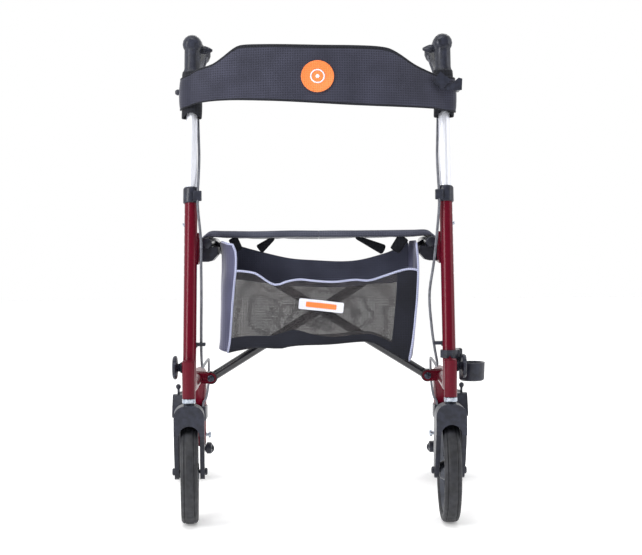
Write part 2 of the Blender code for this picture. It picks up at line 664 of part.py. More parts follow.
def cable_route(side):
    """The brake cable from the lever, down the inside of the tubes, to the brake on the rear leg."""
    bow = 0.0 if side < 0 else 0.014  # the right cable swings further inwards beside the bag
    points = [
        (0.2225, -0.1265, 0.9150), (0.2258, -0.1218, 0.9020), (0.2315, -0.1185, 0.8870),
        (0.2370, -0.1190, 0.8680), (0.2400, -0.1265, 0.8300), (0.2395, -0.1400, 0.7950), (0.2374, -0.1560, 0.7500), (0.2350, -0.1765, 0.7100),
        (0.2350, -0.1990, 0.6650),
        (0.2356, -0.2138, 0.6350), (0.2345, -0.2190, 0.6050), (0.2290, -0.2265, 0.5500),
        (0.2285 - 0.4 * bow, -0.2320, 0.5000), (0.2280 - bow, -0.2380, 0.4400),
        (0.2285 - 0.8 * bow, -0.2420, 0.3800), (0.2290 - 0.4 * bow, -0.2400, 0.3350),
        (0.2295, -0.2240, 0.3060), (0.2305, -0.1950, 0.2970), (0.2315, -0.1400, 0.2975),
        (0.2320, -0.0750, 0.2985), (0.2335, -0.0100, 0.2960), (0.2365, 0.0350, 0.2830),
        (0.2400, 0.0720, 0.2560), (0.2440, 0.0980, 0.2260), (0.2500, 0.1180, 0.2000),
        (0.2570, 0.1350, 0.1880), (0.2590, 0.1400, 0.1755),
    ]
    return [at(side, x, y, z) for x, y, z in points]


def cable(side, word):
    points = smooth_path(cable_route(side), 0.021)
    curve = bpy.data.curves.new(word + "_brake_cable", "CURVE")
    curve.dimensions = "3D"
    curve.bevel_depth = 0.0026
    curve.bevel_resolution = 2
    curve.use_fill_caps = True
    curve.materials.append(CABLE)
    spline = curve.splines.new("POLY")
    spline.points.add(len(points) - 1)
    for spot, point in zip(spline.points, points):
        spot.co = (*point, 1)
    obj = bpy.data.objects.new(word + "_brake_cable", curve)
    bpy.context.scene.collection.objects.link(obj)
    obj.parent = bpy.data.objects["axis_" + word + "_frame"]
    obj.location = -joint_at[word + "_frame"]
    return points


def band_stations():
    """Plan of the backrest band from the left post to the right: centre line, bottom and top heights."""
    wrap = 0.0175
    post_y = main_y(0.832)
    half = [(FRAME_X - 0.010, post_y + wrap), (FRAME_X, post_y + wrap + 0.001)]
    half += [(FRAME_X + x, post_y + y) for x, y in arc((0, 0), wrap, 70, -70, 7)]
    half += [(FRAME_X - 0.012, post_y - wrap - 0.006)]
    bow = [0.225, 0.19, 0.155, 0.12, 0.08, 0.04, 0.0]
    half += [(x, BAND_BOW_Y + (post_y - wrap - BAND_BOW_Y) * (x / 0.2495) ** 2) for x in bow]
    stations = []
    for x, y in half:
        rise = min(1.0, max(0.0, (0.225 - x) / 0.075))
        rise = rise * rise * (3 - 2 * rise)
        low = 0.7960 + 0.0110 * min(1.0, max(0.0, (0.245 - x) / 0.02))
        stations.append((x, y, low, 0.8655 + 0.0555 * rise))
    tilt = 0.010
    left = [(-x, y, low + tilt * x, top + tilt * x) for x, y, low, top in stations]
    right = [(x, y, low - tilt * x, top - tilt * x) for x, y, low, top in stations[-2::-1]]
    return left + right


def backrest_band():
    stations = band_stations()
    rings = []
    for i, (x, y, low, top) in enumerate(stations):
        before, after = stations[max(i - 1, 0)], stations[min(i + 1, len(stations) - 1)]
        along = Vector((after[0] - before[0], after[1] - before[1], 0)).normalized()
        across = Vector((along.y, -along.x, 0)) * (BAND_T / 2)
        # the posts lean, so the band's upper edge sits further back than its lower edge
        lean_low, lean_top = ((z - 0.832) * math.tan(LEAN) for z in (low, top))
        foot, head = Vector((x, y + lean_low, low)), Vector((x, y + lean_top, top))
        rings.append([foot - across, foot + across, head + across, head - across])
    return mount(solid("backrest_band", loft(rings), FABRIC), "left_post")


def cane_clip():
    """The clip at the top right that holds a cane's shaft."""
    y = main_y(0.855)
    centre = Vector((0.2420, y - 0.0435, 0.8560))
    turn = Matrix.Rotation(math.radians(38), 3, "Y")
    corners = [Vector((a * 0.0125, 0, b * 0.0125)) for a, b in ((-1, -1), (1, -1), (1, 1), (-1, 1))]
    obj = solid("cane_clip", plate([centre + turn @ c for c in corners], Vector((0, -0.006, 0))), BLACK)
    arm = [(0.2360, 0.8520), (0.2520, 0.8380), (0.2720, 0.8370), (0.2820, 0.8380), (0.2830, 0.8600),
           (0.2760, 0.8620), (0.2640, 0.8520), (0.2520, 0.8520), (0.2420, 0.8600)]
    join(obj, helper(plate([Vector((x, y - 0.0400, z)) for x, z in arm], Vector((0, -0.006, 0)))),
         helper(block((0.2725, y - 0.0450, 0.8385), (0.2820, y + 0.0100, 0.8595), 0.002, 1)))
    return mount(obj, "right_post")


def band_screw():
    """The small finned screw that pins the band to the left post."""
    y = main_y(0.841)
    profile = [(0.2707, 0.0030), (0.2735, 0.0032), (0.2750, 0.0060), (0.2795, 0.0060), (0.2830, 0.0035)]
    mount(solid("band_screw", turned(Vector((0, y, 0.841)), Vector((-1, 0, 0)), profile, 12), BLACK), "left_post")


def cane_cup():
    """The cup that takes a cane's tip, on an arm from the right frame."""
    centre = Vector((CUP_X, CUP_Y, CUP_LOW))
    high = CUP_TOP - CUP_LOW
    obj = solid("cane_cup",
                turned(centre, Vector((0, 0, 1)), [(0, CUP_R - 0.005), (0.003, CUP_R - 0.0015),
                                                   (high - 0.003, CUP_R - 0.0005), (high, CUP_R)], 24), BLACK)
    # a half band hooks the arm round the back of the main tube
    tube = Vector((FRAME_X, main_y(0.330), 0))
    join(obj, helper(block((0.2640, -0.2640, 0.3190), (0.2715, -0.2150, 0.3340), 0.0015, 1)),
         helper(block((0.2650, -0.2320, 0.2950), (0.2780, -0.2150, 0.3340), 0.0015, 1)),
         helper(turned(tube + Vector((0, 0, 0.3190)), Vector((0, 0, 1)), [(0, 0.0170), (0.0150, 0.0170)], 20)))
    cut(obj, helper(turned(centre + Vector((0, 0, 0.004)), Vector((0, 0, 1)),
                           [(0, CUP_R - 0.007), (0.004, CUP_R - 0.0045), (high + 0.05, CUP_R - 0.0030)], 24)),
        helper(swept(frame_path(1)[:2], circle(TUBE_R + GAP, 16))),
        bore(Vector((FRAME_X, STEER_Y, 0.31)), Vector((FRAME_X, STEER_Y, 0.35)), 0.0132, 20))
    return mount(obj, "right_frame")


# ---------------------------------------------------------------- casters, wheels and brakes


def fork(side, word):
    """The caster fork: a domed crown on the steering stem, with an arched mouth and a blade down each side."""
    half, mouth = FORK_HALF, FORK_HALF - BLADE
    crown = [(half, 0.176), (half, 0.213)]
    crown += arc((half - 0.021, 0.213), 0.021, 18, 90, 4) + arc((-half + 0.021, 0.213), 0.021, 90, 162, 4)
    crown += [(-half, 0.213), (-half, 0.176)] + arc((0, 0.176), mouth, 180, 0, 10)
    obj = solid(word + "_fork",
                plate([at(side, FRAME_X + x, STEER_Y - 0.025, z) for x, z in crown], Vector((0, 0.047, 0))), BLACK)
    outline = [(-0.3125, 0.200), (-0.3020, 0.160), (-0.2830, 0.125)]
    outline += arc((FRONT_AXLE_Y, WHEEL_R), 0.0150, 200, 380, 8)
    outline += [(-0.2400, 0.150), (-0.2560, 0.205), (-0.2700, 0.212), (-0.3060, 0.212)]
    for x in (-half, mouth):
        join(obj, helper(plate([at(side, FRAME_X + x, y, z) for y, z in outline], at(side, BLADE, 0, 0))))
    foot = at(side, FRAME_X, STEER_Y, 0)
    cut(obj, helper(turned(at(side, FRAME_X - mouth, FRONT_AXLE_Y, WHEEL_R), at(side, 1, 0, 0),
                           [(0, 0.0940), (0.0045, 0.1010), (0.0110, 0.1055), (2 * mouth - 0.0110, 0.1055),
                            (2 * mouth - 0.0045, 0.1010), (2 * mouth, 0.0940)], 32)),
        bore(at(side, FRAME_X - 0.04, FRONT_AXLE_Y, WHEEL_R), at(side, FRAME_X + 0.04, FRONT_AXLE_Y, WHEEL_R),
             AXLE_R + GAP, 12))
    join(obj, helper(turned(foot, Vector((0, 0, 1)),
                            [(0.225, 0.0062), (0.2340, 0.0062), (0.2340, 0.0110), (0.2366, 0.0110),
                             (0.2366, 0.0062), (0.3040, 0.0062)], 16)))
    return mount(obj, word + "_caster")


def front_axle(side, word):
    end = FORK_HALF + GAP
    profile = [(-end - 0.0052, 0.0040), (-end - 0.0040, 0.0070), (-end, 0.0072), (-end, AXLE_R),
               (end, AXLE_R), (end, 0.0072), (end + 0.0030, 0.0072), (end + 0.0045, 0.0050)]
    mount(solid(word + "_front_axle",
                turned(at(side, FRAME_X, FRONT_AXLE_Y, WHEEL_R), at(side, 1, 0, 0), profile, 12), STEEL),
          word + "_caster")


def tyre(name, side, x, y, body):
    wide = TYRE_HALF + (FRONT_TYRE_WIDER if body.endswith("front_wheel") else 0.0)
    crown = [(-0.0110, RIM_R), (-wide, 0.0900), (-wide + 0.0030, 0.0972), (-wide + 0.0100, 0.0997),
             (wide - 0.0100, 0.0997), (wide - 0.0030, 0.0972), (wide, 0.0900), (0.0110, RIM_R)]
    return mount(solid(name, turned(at(side, x, y, WHEEL_R), Vector((1, 0, 0)), crown, 32, ring=True), TYRE), body)


def hub(name, side, x, y, boss, body):
    """A five-spoke wheel: rim, spokes cut out of a dished disc, and a bored boss."""
    centre, out = at(side, x, y, WHEEL_R), Vector((1, 0, 0))
    r = RIM_R - GAP
    profile = [(-0.0108, r), (-0.0122, r - 0.004), (-0.0050, r - 0.010),
               (-0.0060, 0.0220), (-boss, 0.0150), (-boss, 0.0043), (boss, 0.0043), (boss, 0.0150),
               (0.0060, 0.0220), (0.0050, r - 0.010), (0.0122, r - 0.004), (0.0108, r)]
    obj = solid(name, turned(centre, out, profile, 32, ring=True), HUB)
    for i in range(5):
        turn = 72 * i
        window = arc((0, 0), 0.0670, turn + 14, turn + 58, 4) + arc((0, 0), 0.0290, turn + 50, turn + 22, 2)
        outline = [centre + Vector((-0.02, a, b)) for a, b in window]
        cut(obj, helper(plate(outline, Vector((0.04, 0, 0)))))
    return mount(obj, body)


def brake_arm(side, word):
    """The arm that presses its pad on the rear tyre, with its adjusting screw on top."""
    axle = (REAR_AXLE_Y, WHEEL_R)
    pad = arc(axle, WHEEL_R + 0.0034, 129, 143, 4)
    outline = pad + [(0.1480, 0.1520)] + arc((0.1510, 0.1594), 0.0070, 250, 150, 4)
    outline += [(0.1500, 0.1760), (0.1640, 0.2010), (0.1800, 0.2020)]
    x_in, x_out = 0.2935, 0.3285
    obj = solid(word + "_brake_arm",
                plate([at(side, x_in, y, z) for y, z in outline], at(side, x_out - x_in, 0, 0)), BLACK)
    up = Vector((0, -0.25, 1)).normalized()
    join(obj,
         bore(at(side, 0.2640, 0.1510, 0.1594), at(side, x_in + 0.004, 0.1510, 0.1594), AXLE_R, 12),
         helper(turned(at(side, 0.3160, 0.1735, 0.1990), up,
                       [(0, 0.0028), (0.0150, 0.0028), (0.0160, 0.0040), (0.0185, 0.0055), (0.0215, 0.0058),
                        (0.0250, 0.0045), (0.0268, 0.0015)], 12)))
    return mount(obj, word + "_brake")


# ---------------------------------------------------------------- assembly

for side, word in SIDES.items():
    route = cable(side, word)
    side_frame(side, word)
    collar(side, word, route)
    cable_hook(side, word, route)
    cradle(side, word)
    head_parts(side, word)
    pivot_bolt(side, word)
    rear_axle(side, word)
    brake_block(side, word, route)
    tipping_lever(side, word)
    clamp_knob(side, word)
    post(side, word)
    snap_button(side, word)
    handle(side, word)
    grip(side, word)
    brake_lever(side, word)
    fork(side, word)
    front_axle(side, word)
    brake_arm(side, word)
    seat_half(side, word)
    for place, x, y, boss in (("front", FRAME_X, FRONT_AXLE_Y, 0.0180), ("rear", REAR_WHEEL_X, REAR_AXLE_Y, 0.0165)):
        wheel = f"{word}_{place}"
        tyre(wheel + "_tyre", side, x, y, wheel + "_wheel")
        hub(wheel + "_hub", side, x, y, boss, wheel + "_wheel")

brace("brace_a", -1, BRACE_A_Y, "cross_a")
brace("brace_b", 1, BRACE_B_Y, "cross_b")
rail_cap(1, "right", "cross_a")
rail_cap(-1, "left", "cross_b")
centre_bolt()
bag()
backrest_band()
cane_clip()
band_screw()
cane_cup()
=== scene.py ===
# %% [markdown]
# # A folding rollator walker
#
# This file dresses a finished mechanical model. Its tubes, wheels, hinges and brakes come in with the right
# shapes and sizes, and they never move. Here they get their finishes, and the cloth parts - seat, bag and
# backrest band - are made as cloth. Everything is in metres, +Z up, with the front casters towards -Y.

import json
import math

import bmesh
import bpy
from mathutils import Matrix, Vector, noise

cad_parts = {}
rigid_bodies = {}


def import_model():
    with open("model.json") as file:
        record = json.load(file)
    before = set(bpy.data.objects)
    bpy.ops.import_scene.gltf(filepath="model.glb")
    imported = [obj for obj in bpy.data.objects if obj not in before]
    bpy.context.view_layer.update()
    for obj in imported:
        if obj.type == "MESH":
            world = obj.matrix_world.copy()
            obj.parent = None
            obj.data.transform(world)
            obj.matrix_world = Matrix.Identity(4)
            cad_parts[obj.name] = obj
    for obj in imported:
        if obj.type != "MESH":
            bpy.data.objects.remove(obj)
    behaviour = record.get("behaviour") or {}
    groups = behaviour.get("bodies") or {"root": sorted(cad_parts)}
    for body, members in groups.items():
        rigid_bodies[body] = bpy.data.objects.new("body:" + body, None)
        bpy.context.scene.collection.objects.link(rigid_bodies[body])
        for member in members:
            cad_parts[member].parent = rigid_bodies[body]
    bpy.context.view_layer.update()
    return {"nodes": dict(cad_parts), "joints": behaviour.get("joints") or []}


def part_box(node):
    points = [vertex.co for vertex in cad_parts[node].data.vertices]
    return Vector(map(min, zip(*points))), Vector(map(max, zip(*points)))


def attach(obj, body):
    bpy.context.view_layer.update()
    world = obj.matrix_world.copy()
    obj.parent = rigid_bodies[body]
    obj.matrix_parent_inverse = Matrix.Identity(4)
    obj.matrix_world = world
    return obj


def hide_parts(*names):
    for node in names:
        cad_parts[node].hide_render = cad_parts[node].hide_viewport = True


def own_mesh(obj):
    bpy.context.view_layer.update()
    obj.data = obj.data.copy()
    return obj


for leftover in list(bpy.data.objects):
    bpy.data.objects.remove(leftover, do_unlink=True)
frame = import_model()
nodes = frame["nodes"]

# %% [markdown]
# ## Camera, floor and light
#
# A long lens from about three metres keeps the two sides of the walker almost parallel. The lens stands at
# seat height and tips down a little. Real studio cameras are rarely dead level, so this one rolls slightly.
# The light is a bright surround with four large soft panels, which keeps black plastic readable.

# %% Camera
EYE = Vector((0.004, -2.940, 0.560))
FILM_WIDTH_MM, FOCAL_MM = 36.0, 78.28
PITCH_DOWN = math.radians(1.8258)
ROLL = math.radians(0.3896)

level_right, level_up = Vector((1, 0, 0)), Vector((0, math.sin(PITCH_DOWN), math.cos(PITCH_DOWN)))
right = level_right * math.cos(ROLL) - level_up * math.sin(ROLL)
up = level_up * math.cos(ROLL) + level_right * math.sin(ROLL)
back = right.cross(up)
lens = bpy.data.cameras.new("camera")
lens.sensor_width = FILM_WIDTH_MM
lens.lens = FOCAL_MM
camera = bpy.data.objects.new("camera", lens)
camera.matrix_world = Matrix.Translation(EYE) @ Matrix((right, up, back)).transposed().to_4x4()
bpy.context.scene.collection.objects.link(camera)
bpy.context.scene.camera = camera
print("camera:", round(lens.lens, 1), "mm lens at", tuple(round(v, 3) for v in EYE))

# %% Floor, surround and soft panels
scene = bpy.context.scene
scene.view_settings.view_transform = "Standard"
world = bpy.data.worlds.new("bright_surround")
scene.world = world
world.use_nodes = True
sky = world.node_tree
background = sky.nodes["Background"]
background.inputs["Color"].default_value = (1, 1, 1, 1)
# the room is white behind and beside the walker and darker in front of it, where the camera stands
direction = sky.nodes.new("ShaderNodeTexCoord")
parts = sky.nodes.new("ShaderNodeSeparateXYZ")
sky.links.new(direction.outputs["Generated"], parts.inputs["Vector"])
darker_front = sky.nodes.new("ShaderNodeMapRange")
sky.links.new(parts.outputs["Y"], darker_front.inputs["Value"])
for socket, value in {"From Min": -0.75, "From Max": 0.15, "To Min": 0.30, "To Max": 1.0}.items():
    darker_front.inputs[socket].default_value = value
ray = sky.nodes.new("ShaderNodeLightPath")  # the backdrop itself is plain white
backdrop = sky.nodes.new("ShaderNodeMath")
backdrop.operation = "MAXIMUM"
sky.links.new(ray.outputs["Is Camera Ray"], backdrop.inputs[0])
sky.links.new(darker_front.outputs["Result"], backdrop.inputs[1])
sky.links.new(backdrop.outputs["Value"], background.inputs["Strength"])

paper = bpy.data.materials.new("white_paper_floor")
paper.use_nodes = True
paper_shader = paper.node_tree.nodes["Principled BSDF"]
paper_shader.inputs["Base Color"].default_value = (1, 1, 1, 1)
paper_shader.inputs["Roughness"].default_value = 1.0
paper_shader.inputs["Specular IOR Level"].default_value = 0.0
paper_shader.inputs["Emission Color"].default_value = (1, 1, 1, 1)
paper_shader.inputs["Emission Strength"].default_value = 0.22
floor_mesh = bpy.data.meshes.new("floor")
FLOOR_HALF = 9.0
corners = [(-FLOOR_HALF, -FLOOR_HALF, 0), (FLOOR_HALF, -FLOOR_HALF, 0), (FLOOR_HALF, FLOOR_HALF, 0),
           (-FLOOR_HALF, FLOOR_HALF, 0)]
floor_mesh.from_pydata(corners, [], [(0, 1, 2, 3)])
floor_mesh.materials.append(paper)
floor = bpy.data.objects.new("floor", floor_mesh)
scene.collection.objects.link(floor)


def soft_panel(name, place, target, size, power):
    lamp = bpy.data.lights.new(name, "AREA")
    lamp.shape = "RECTANGLE"
    lamp.size, lamp.size_y = size
    lamp.energy = power
    holder = bpy.data.objects.new(name, lamp)
    holder.location = place
    holder.rotation_euler = (Vector(target) - Vector(place)).to_track_quat("-Z", "Y").to_euler()
    scene.collection.objects.link(holder)


soft_panel("key_panel", (-2.6, -2.2, 1.7), (0, 0, 0.5), (1.4, 1.8), 66)
soft_panel("side_panel", (2.8, -0.8, 1.3), (0, 0, 0.5), (1.0, 1.8), 15)
soft_panel("top_panel", (-0.4, -1.2, 2.8), (0, 0, 0.4), (1.6, 1.2), 22)
soft_panel("rim_panel", (0.4, 2.8, 2.4), (0, 0, 0.6), (2.0, 1.2), 24)

# %% [markdown]
# ## Building finishes from nodes
#
# A finish is more than one colour. Lacquer has depth, moulded nylon has a fine grain and woven cloth has
# threads. Each finish is a Principled shader, with a pattern for its colour and a bump for its surface. All
# patterns are laid out in metres in the object's own space, so a thread or a grain has a real size.

# %% Helpers for finishes


def linear(hex_colour, alpha=1.0):
    """An sRGB hex colour, such as '7C1F3A', as the linear RGBA that shaders take."""
    values = [int(hex_colour[i : i + 2], 16) / 255 for i in (0, 2, 4)]
    return (*[v / 12.92 if v <= 0.04045 else ((v + 0.055) / 1.055) ** 2.4 for v in values], alpha)


def add(material, kind, inputs=None, **settings):
    """Adds a node: inputs take a value or another node's output socket."""
    tree = material.node_tree
    made = tree.nodes.new(kind)
    for name, value in settings.items():
        setattr(made, name, value)
    for name, value in (inputs or {}).items():
        if isinstance(value, bpy.types.NodeSocket):
            tree.links.new(value, made.inputs[name])
        else:
            made.inputs[name].default_value = value
    return made


def start(name, colour, roughness, metallic=0.0, **sockets):
    """A new finish with its shader's plain values set. Returns the material, its shader and its coordinates."""
    material = bpy.data.materials.new(name)
    material.use_nodes = True
    shader = material.node_tree.nodes["Principled BSDF"]
    shader.inputs["Base Color"].default_value = linear(colour)
    shader.inputs["Roughness"].default_value = roughness
    shader.inputs["Metallic"].default_value = metallic
    for socket, value in sockets.items():
        shader.inputs[socket.replace("_", " ")].default_value = value
    where = add(material, "ShaderNodeTexCoord").outputs["Object"]
    return material, shader, where


def link(material, output, shader, socket):
    material.node_tree.links.new(output, shader.inputs[socket])


def mottle(material, shader, where, dark, light, grain_mm, detail=4.0):
    """Varies the base colour between two shades in patches of about grain_mm."""
    cloud = add(material, "ShaderNodeTexNoise", {"Vector": where, "Scale": 1000 / grain_mm, "Detail": detail})
    ramp = add(material, "ShaderNodeValToRGB", {"Fac": cloud.outputs["Fac"]})
    ramp.color_ramp.elements[0].position, ramp.color_ramp.elements[1].position = 0.35, 0.68
    ramp.color_ramp.elements[0].color, ramp.color_ramp.elements[1].color = linear(dark), linear(light)
    link(material, ramp.outputs["Color"], shader, "Base Color")
    return ramp.outputs["Color"]


def uneven_gloss(material, shader, where, low, high, patch_mm):
    """Lets roughness wander between two values, as handling and dust do."""
    cloud = add(material, "ShaderNodeTexNoise", {"Vector": where, "Scale": 1000 / patch_mm, "Detail": 3.0})
    spread = add(material, "ShaderNodeMapRange",
                 {"Value": cloud.outputs["Fac"], "From Min": 0.3, "From Max": 0.7, "To Min": low,
                  "To Max": high})
    link(material, spread.outputs["Result"], shader, "Roughness")


def grain_bump(material, shader, where, grain_mm, depth_mm, strength=0.5):
    """A fine random grain on the surface."""
    cloud = add(material, "ShaderNodeTexNoise", {"Vector": where, "Scale": 1000 / grain_mm, "Detail": 3.0})
    bump = add(material, "ShaderNodeBump",
               {"Height": cloud.outputs["Fac"], "Distance": depth_mm / 1000, "Strength": strength})
    link(material, bump.outputs["Normal"], shader, "Normal")


# %% [markdown]
# ### Metal finishes
#
# The side frames are aluminium tube with a clear-coated burgundy lacquer: a dark metallic base under a glossy
# coat. The height posts are bare tube, satin anodised, with faint lines along their length from drawing. Bolts
# and axles are zinc plated, which is bluish and a little cloudy. The cross brace has a black powder coat, whose
# skin dries with a fine orange peel.

# %% Metals
lacquer, shader, where = start("burgundy_metallic_lacquer", "5E051B", 0.36, 0.1, Coat_Weight=0.2,
                               Coat_Roughness=0.06)
shader.inputs["Specular IOR Level"].default_value = 0.1
# metal flake is 0.05 mm across, and it is drawn at 0.8 mm so that it shows
mottle(lacquer, shader, where, "500416", "6C0822", 0.8, 2.0)
uneven_gloss(lacquer, shader, where, 0.28, 0.40, 40)

anodised, shader, where = start("satin_anodised_aluminium", "E4E7F0", 0.48, 0.55)
stretched = add(anodised, "ShaderNodeMapping", {"Vector": where, "Scale": (1.0, 1.0, 0.02)})
lines = add(anodised, "ShaderNodeTexNoise",
            {"Vector": stretched.outputs["Vector"], "Scale": 1000 / 0.6, "Detail": 2.0})
tint = add(anodised, "ShaderNodeValToRGB", {"Fac": lines.outputs["Fac"]})
tint.color_ramp.elements[0].color, tint.color_ramp.elements[1].color = linear("E0E3EE"), linear("F4F5FB")
link(anodised, tint.outputs["Color"], shader, "Base Color")
drawn = add(anodised, "ShaderNodeBump", {"Height": lines.outputs["Fac"], "Distance": 0.00002, "Strength": 0.1})
link(anodised, drawn.outputs["Normal"], shader, "Normal")

zinc, shader, where = start("zinc_plated_steel", "B4BCC8", 0.30, 1.0)
mottle(zinc, shader, where, "9AA4B2", "CDD4DE", 4.0)
uneven_gloss(zinc, shader, where, 0.25, 0.42, 6)

blackened, shader, where = start("blackened_steel", "3A3E48", 0.34, 0.8)
mottle(blackened, shader, where, "2E323C", "4C515E", 4.0)

powder, shader, where = start("black_powder_coat", "1A1B20", 0.24, 0.0, Coat_Weight=0.4, Coat_Roughness=0.12)
mottle(powder, shader, where, "16171B", "22232A", 12)
grain_bump(powder, shader, where, 2.5, 0.03, 0.2)
print("metals:", lacquer.name, anodised.name, zinc.name, blackened.name, powder.name)

# %% [markdown]
# ### Plastics and rubber
#
# Forks, knobs, handles and clips are moulded in black glass-filled nylon, whose mould is etched so that the
# surface has a fine matt grain. Grips are soft rubber, duller than nylon. Tyres are solid polyurethane: dark
# and slightly bluish.

# %% Plastics and rubber
nylon, shader, where = start("moulded_black_nylon", "22242F", 0.38)
shader.inputs["Specular IOR Level"].default_value = 0.40
mottle(nylon, shader, where, "1D1F29", "2B2E3C", 9)
uneven_gloss(nylon, shader, where, 0.32, 0.46, 25)
grain_bump(nylon, shader, where, 0.9, 0.02, 0.25)  # etched grain of 0.2 mm, drawn at 0.9 mm

grip_rubber, shader, where = start("soft_grip_rubber", "1B1C20", 0.72)
mottle(grip_rubber, shader, where, "17181B", "232429", 6)
grain_bump(grip_rubber, shader, where, 1.2, 0.06, 0.5)

tyre_pu, shader, where = start("polyurethane_tyre", "1E1F24", 0.58)
mottle(tyre_pu, shader, where, "18191D", "2B2C32", 14)
uneven_gloss(tyre_pu, shader, where, 0.48, 0.72, 12)
grain_bump(tyre_pu, shader, where, 2.0, 0.08, 0.4)

hub_nylon, shader, where = start("grey_hub_nylon", "3A3D46", 0.42)
mottle(hub_nylon, shader, where, "33363E", "444853", 16)
grain_bump(hub_nylon, shader, where, 1.0, 0.03, 0.35)

housing, shader, where = start("cable_housing_pvc", "5C5E66", 0.38)
mottle(housing, shader, where, "50525A", "6C6E77", 8)
print("plastics:", nylon.name, grip_rubber.name, tyre_pu.name, hub_nylon.name, housing.name)

# %% [markdown]
# ### Finishing the mechanical parts
#
# The mechanical parts are made of triangles with hard edges. A real moulding or casting has a small radius on
# every edge, which catches a line of light. A Weld joins the triangles, a Bevel rounds the edges, by half a
# millimetre where EDGE_RADIUS gives nothing else, and a Weighted Normal keeps the broad faces flat. None of these
# modifiers changes the stored part.

# %% Put a finish on each mechanical part
FINISH_OF = {
    "side_frame": lacquer, "head_cap": lacquer, "post": anodised, "head_bush": zinc, "rear_axle": zinc,
    "snap_button": zinc, "pivot_bolt": blackened, "centre_bolt": blackened, "brace_a": powder, "brace_b": powder,
    "grip": grip_rubber, "front_hub": hub_nylon, "rear_hub": hub_nylon, "brake_cable": housing,
    "front_tyre": tyre_pu, "rear_tyre": tyre_pu,
}
EDGE_RADIUS = {"side_frame": 0.0006, "front_hub": 0.0007, "rear_hub": 0.0007, "fork": 0.0042, "knob": 0.0012,
               "handle": 0.0010, "brake_lever": 0.0010, "brake_block": 0.0010, "brake_arm": 0.0008}
PLAIN_EDGE = 0.0005
BROAD_EDGE = 0.002  # an edge rounder than this takes more segments
UNROUNDED = ("brake_cable", "post", "tyre", "snap_button")


def part_of(name):
    return name.removeprefix("left_").removeprefix("right_")


def round_edges(obj, radius):
    obj.data.attributes.remove(obj.data.attributes["custom_normal"])
    obj.data.shade_smooth()
    weld = obj.modifiers.new("join_faces", "WELD")
    weld.merge_threshold = 0.00002
    bevel = obj.modifiers.new("edge_radius", "BEVEL")
    bevel.width = radius
    bevel.segments = 4 if radius > BROAD_EDGE else 2
    bevel.limit_method = "ANGLE"
    bevel.angle_limit = math.radians(38)
    bevel.use_clamp_overlap = True
    flat = obj.modifiers.new("keep_faces_flat", "WEIGHTED_NORMAL")
    flat.keep_sharp = True
    flat.weight = 60


for name, obj in nodes.items():
    part = part_of(name)
    obj.material_slots[0].material = FINISH_OF.get(part, nylon)
    if not part.endswith(UNROUNDED):
        round_edges(obj, EDGE_RADIUS.get(part, PLAIN_EDGE))
print("finished", len(nodes), "mechanical parts")

# %% [markdown]
# ## Brake cables
#
# Each brake works through a Bowden cable: a steel wire in a plastic housing 5 mm across, from the lever down the
# inside of the tubes to the rear wheel. Both ends go into the walker and its whole length shows, so it is one
# smooth curve with a round section, laid along the same route as the solid that it stands for.

# %% Brake cables
CABLE_D = 0.0052
CABLE_ROUTE = [
    (0.2225, -0.1265, 0.9150), (0.2258, -0.1218, 0.9020), (0.2315, -0.1185, 0.8870), (0.2370, -0.1190, 0.8680),
    (0.2400, -0.1265, 0.8300), (0.2395, -0.1400, 0.7950),
    (0.2374, -0.1560, 0.7500), (0.2350, -0.1765, 0.7100), (0.2350, -0.1990, 0.6650), (0.2356, -0.2138, 0.6350),
    (0.2345, -0.2190, 0.6050), (0.2290, -0.2265, 0.5500), (0.2285, -0.2320, 0.5000), (0.2280, -0.2380, 0.4400),
    (0.2285, -0.2420, 0.3800), (0.2290, -0.2400, 0.3350), (0.2295, -0.2240, 0.3060), (0.2305, -0.1950, 0.2970),
    (0.2315, -0.1400, 0.2975), (0.2320, -0.0750, 0.2985), (0.2335, -0.0100, 0.2960), (0.2365, 0.0350, 0.2830),
    (0.2400, 0.0720, 0.2560), (0.2440, 0.0980, 0.2260), (0.2500, 0.1180, 0.2000), (0.2570, 0.1350, 0.1880),
    (0.2590, 0.1400, 0.1755),
]
RIGHT_BOW = 0.014  # the right cable swings this much further inwards beside the bag
BOW_SHARE = {12: 0.4, 13: 1.0, 14: 0.8, 15: 0.4}  # and each of these points of its route takes this share of it


def smooth_line(points, steps=8):
    """Points on a smooth curve through the given ones."""
    ends = [2 * points[0] - points[1], *points, 2 * points[-1] - points[-2]]
    line = []
    for a, b, c, d in zip(ends, ends[1:], ends[2:], ends[3:]):
        for i in range(steps):
            t = i / steps
            line.append(0.5 * (2 * b + (c - a) * t + (2 * a - 5 * b + 4 * c - d) * t**2
                               + (3 * b - a - 3 * c + d) * t**3))
    return line + [points[-1]]


for side, word in ((-1, "left"), (1, "right")):
    bow = 0.0 if side < 0 else RIGHT_BOW
    route = [Vector((side * (x - bow * BOW_SHARE.get(i, 0.0)), y, z)) for i, (x, y, z) in enumerate(CABLE_ROUTE)]
    line = smooth_line(route)
    curve = bpy.data.curves.new(word + "_brake_housing", "CURVE")
    curve.dimensions = "3D"
    curve.bevel_depth = CABLE_D / 2
    curve.bevel_resolution = 3
    curve.use_fill_caps = True
    curve.materials.append(housing)
    spline = curve.splines.new("POLY")
    spline.points.add(len(line) - 1)
    for spot, point in zip(spline.points, line):
        spot.co = (*point, 1)
    spline.use_smooth = True
    cable = bpy.data.objects.new(word + "_brake_housing", curve)
    scene.collection.objects.link(cable)
    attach(cable, word + "_frame")
    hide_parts(word + "_brake_cable")

# %% [markdown]
# ## Tyres
#
# The tyres are solid polyurethane, moulded round the rim. The tread is almost smooth: a flat crown between two
# fine grooves, with rounded shoulders. A tyre is a turned shape, so one section is carried round its wheel's own
# axis, which the model's joints give.

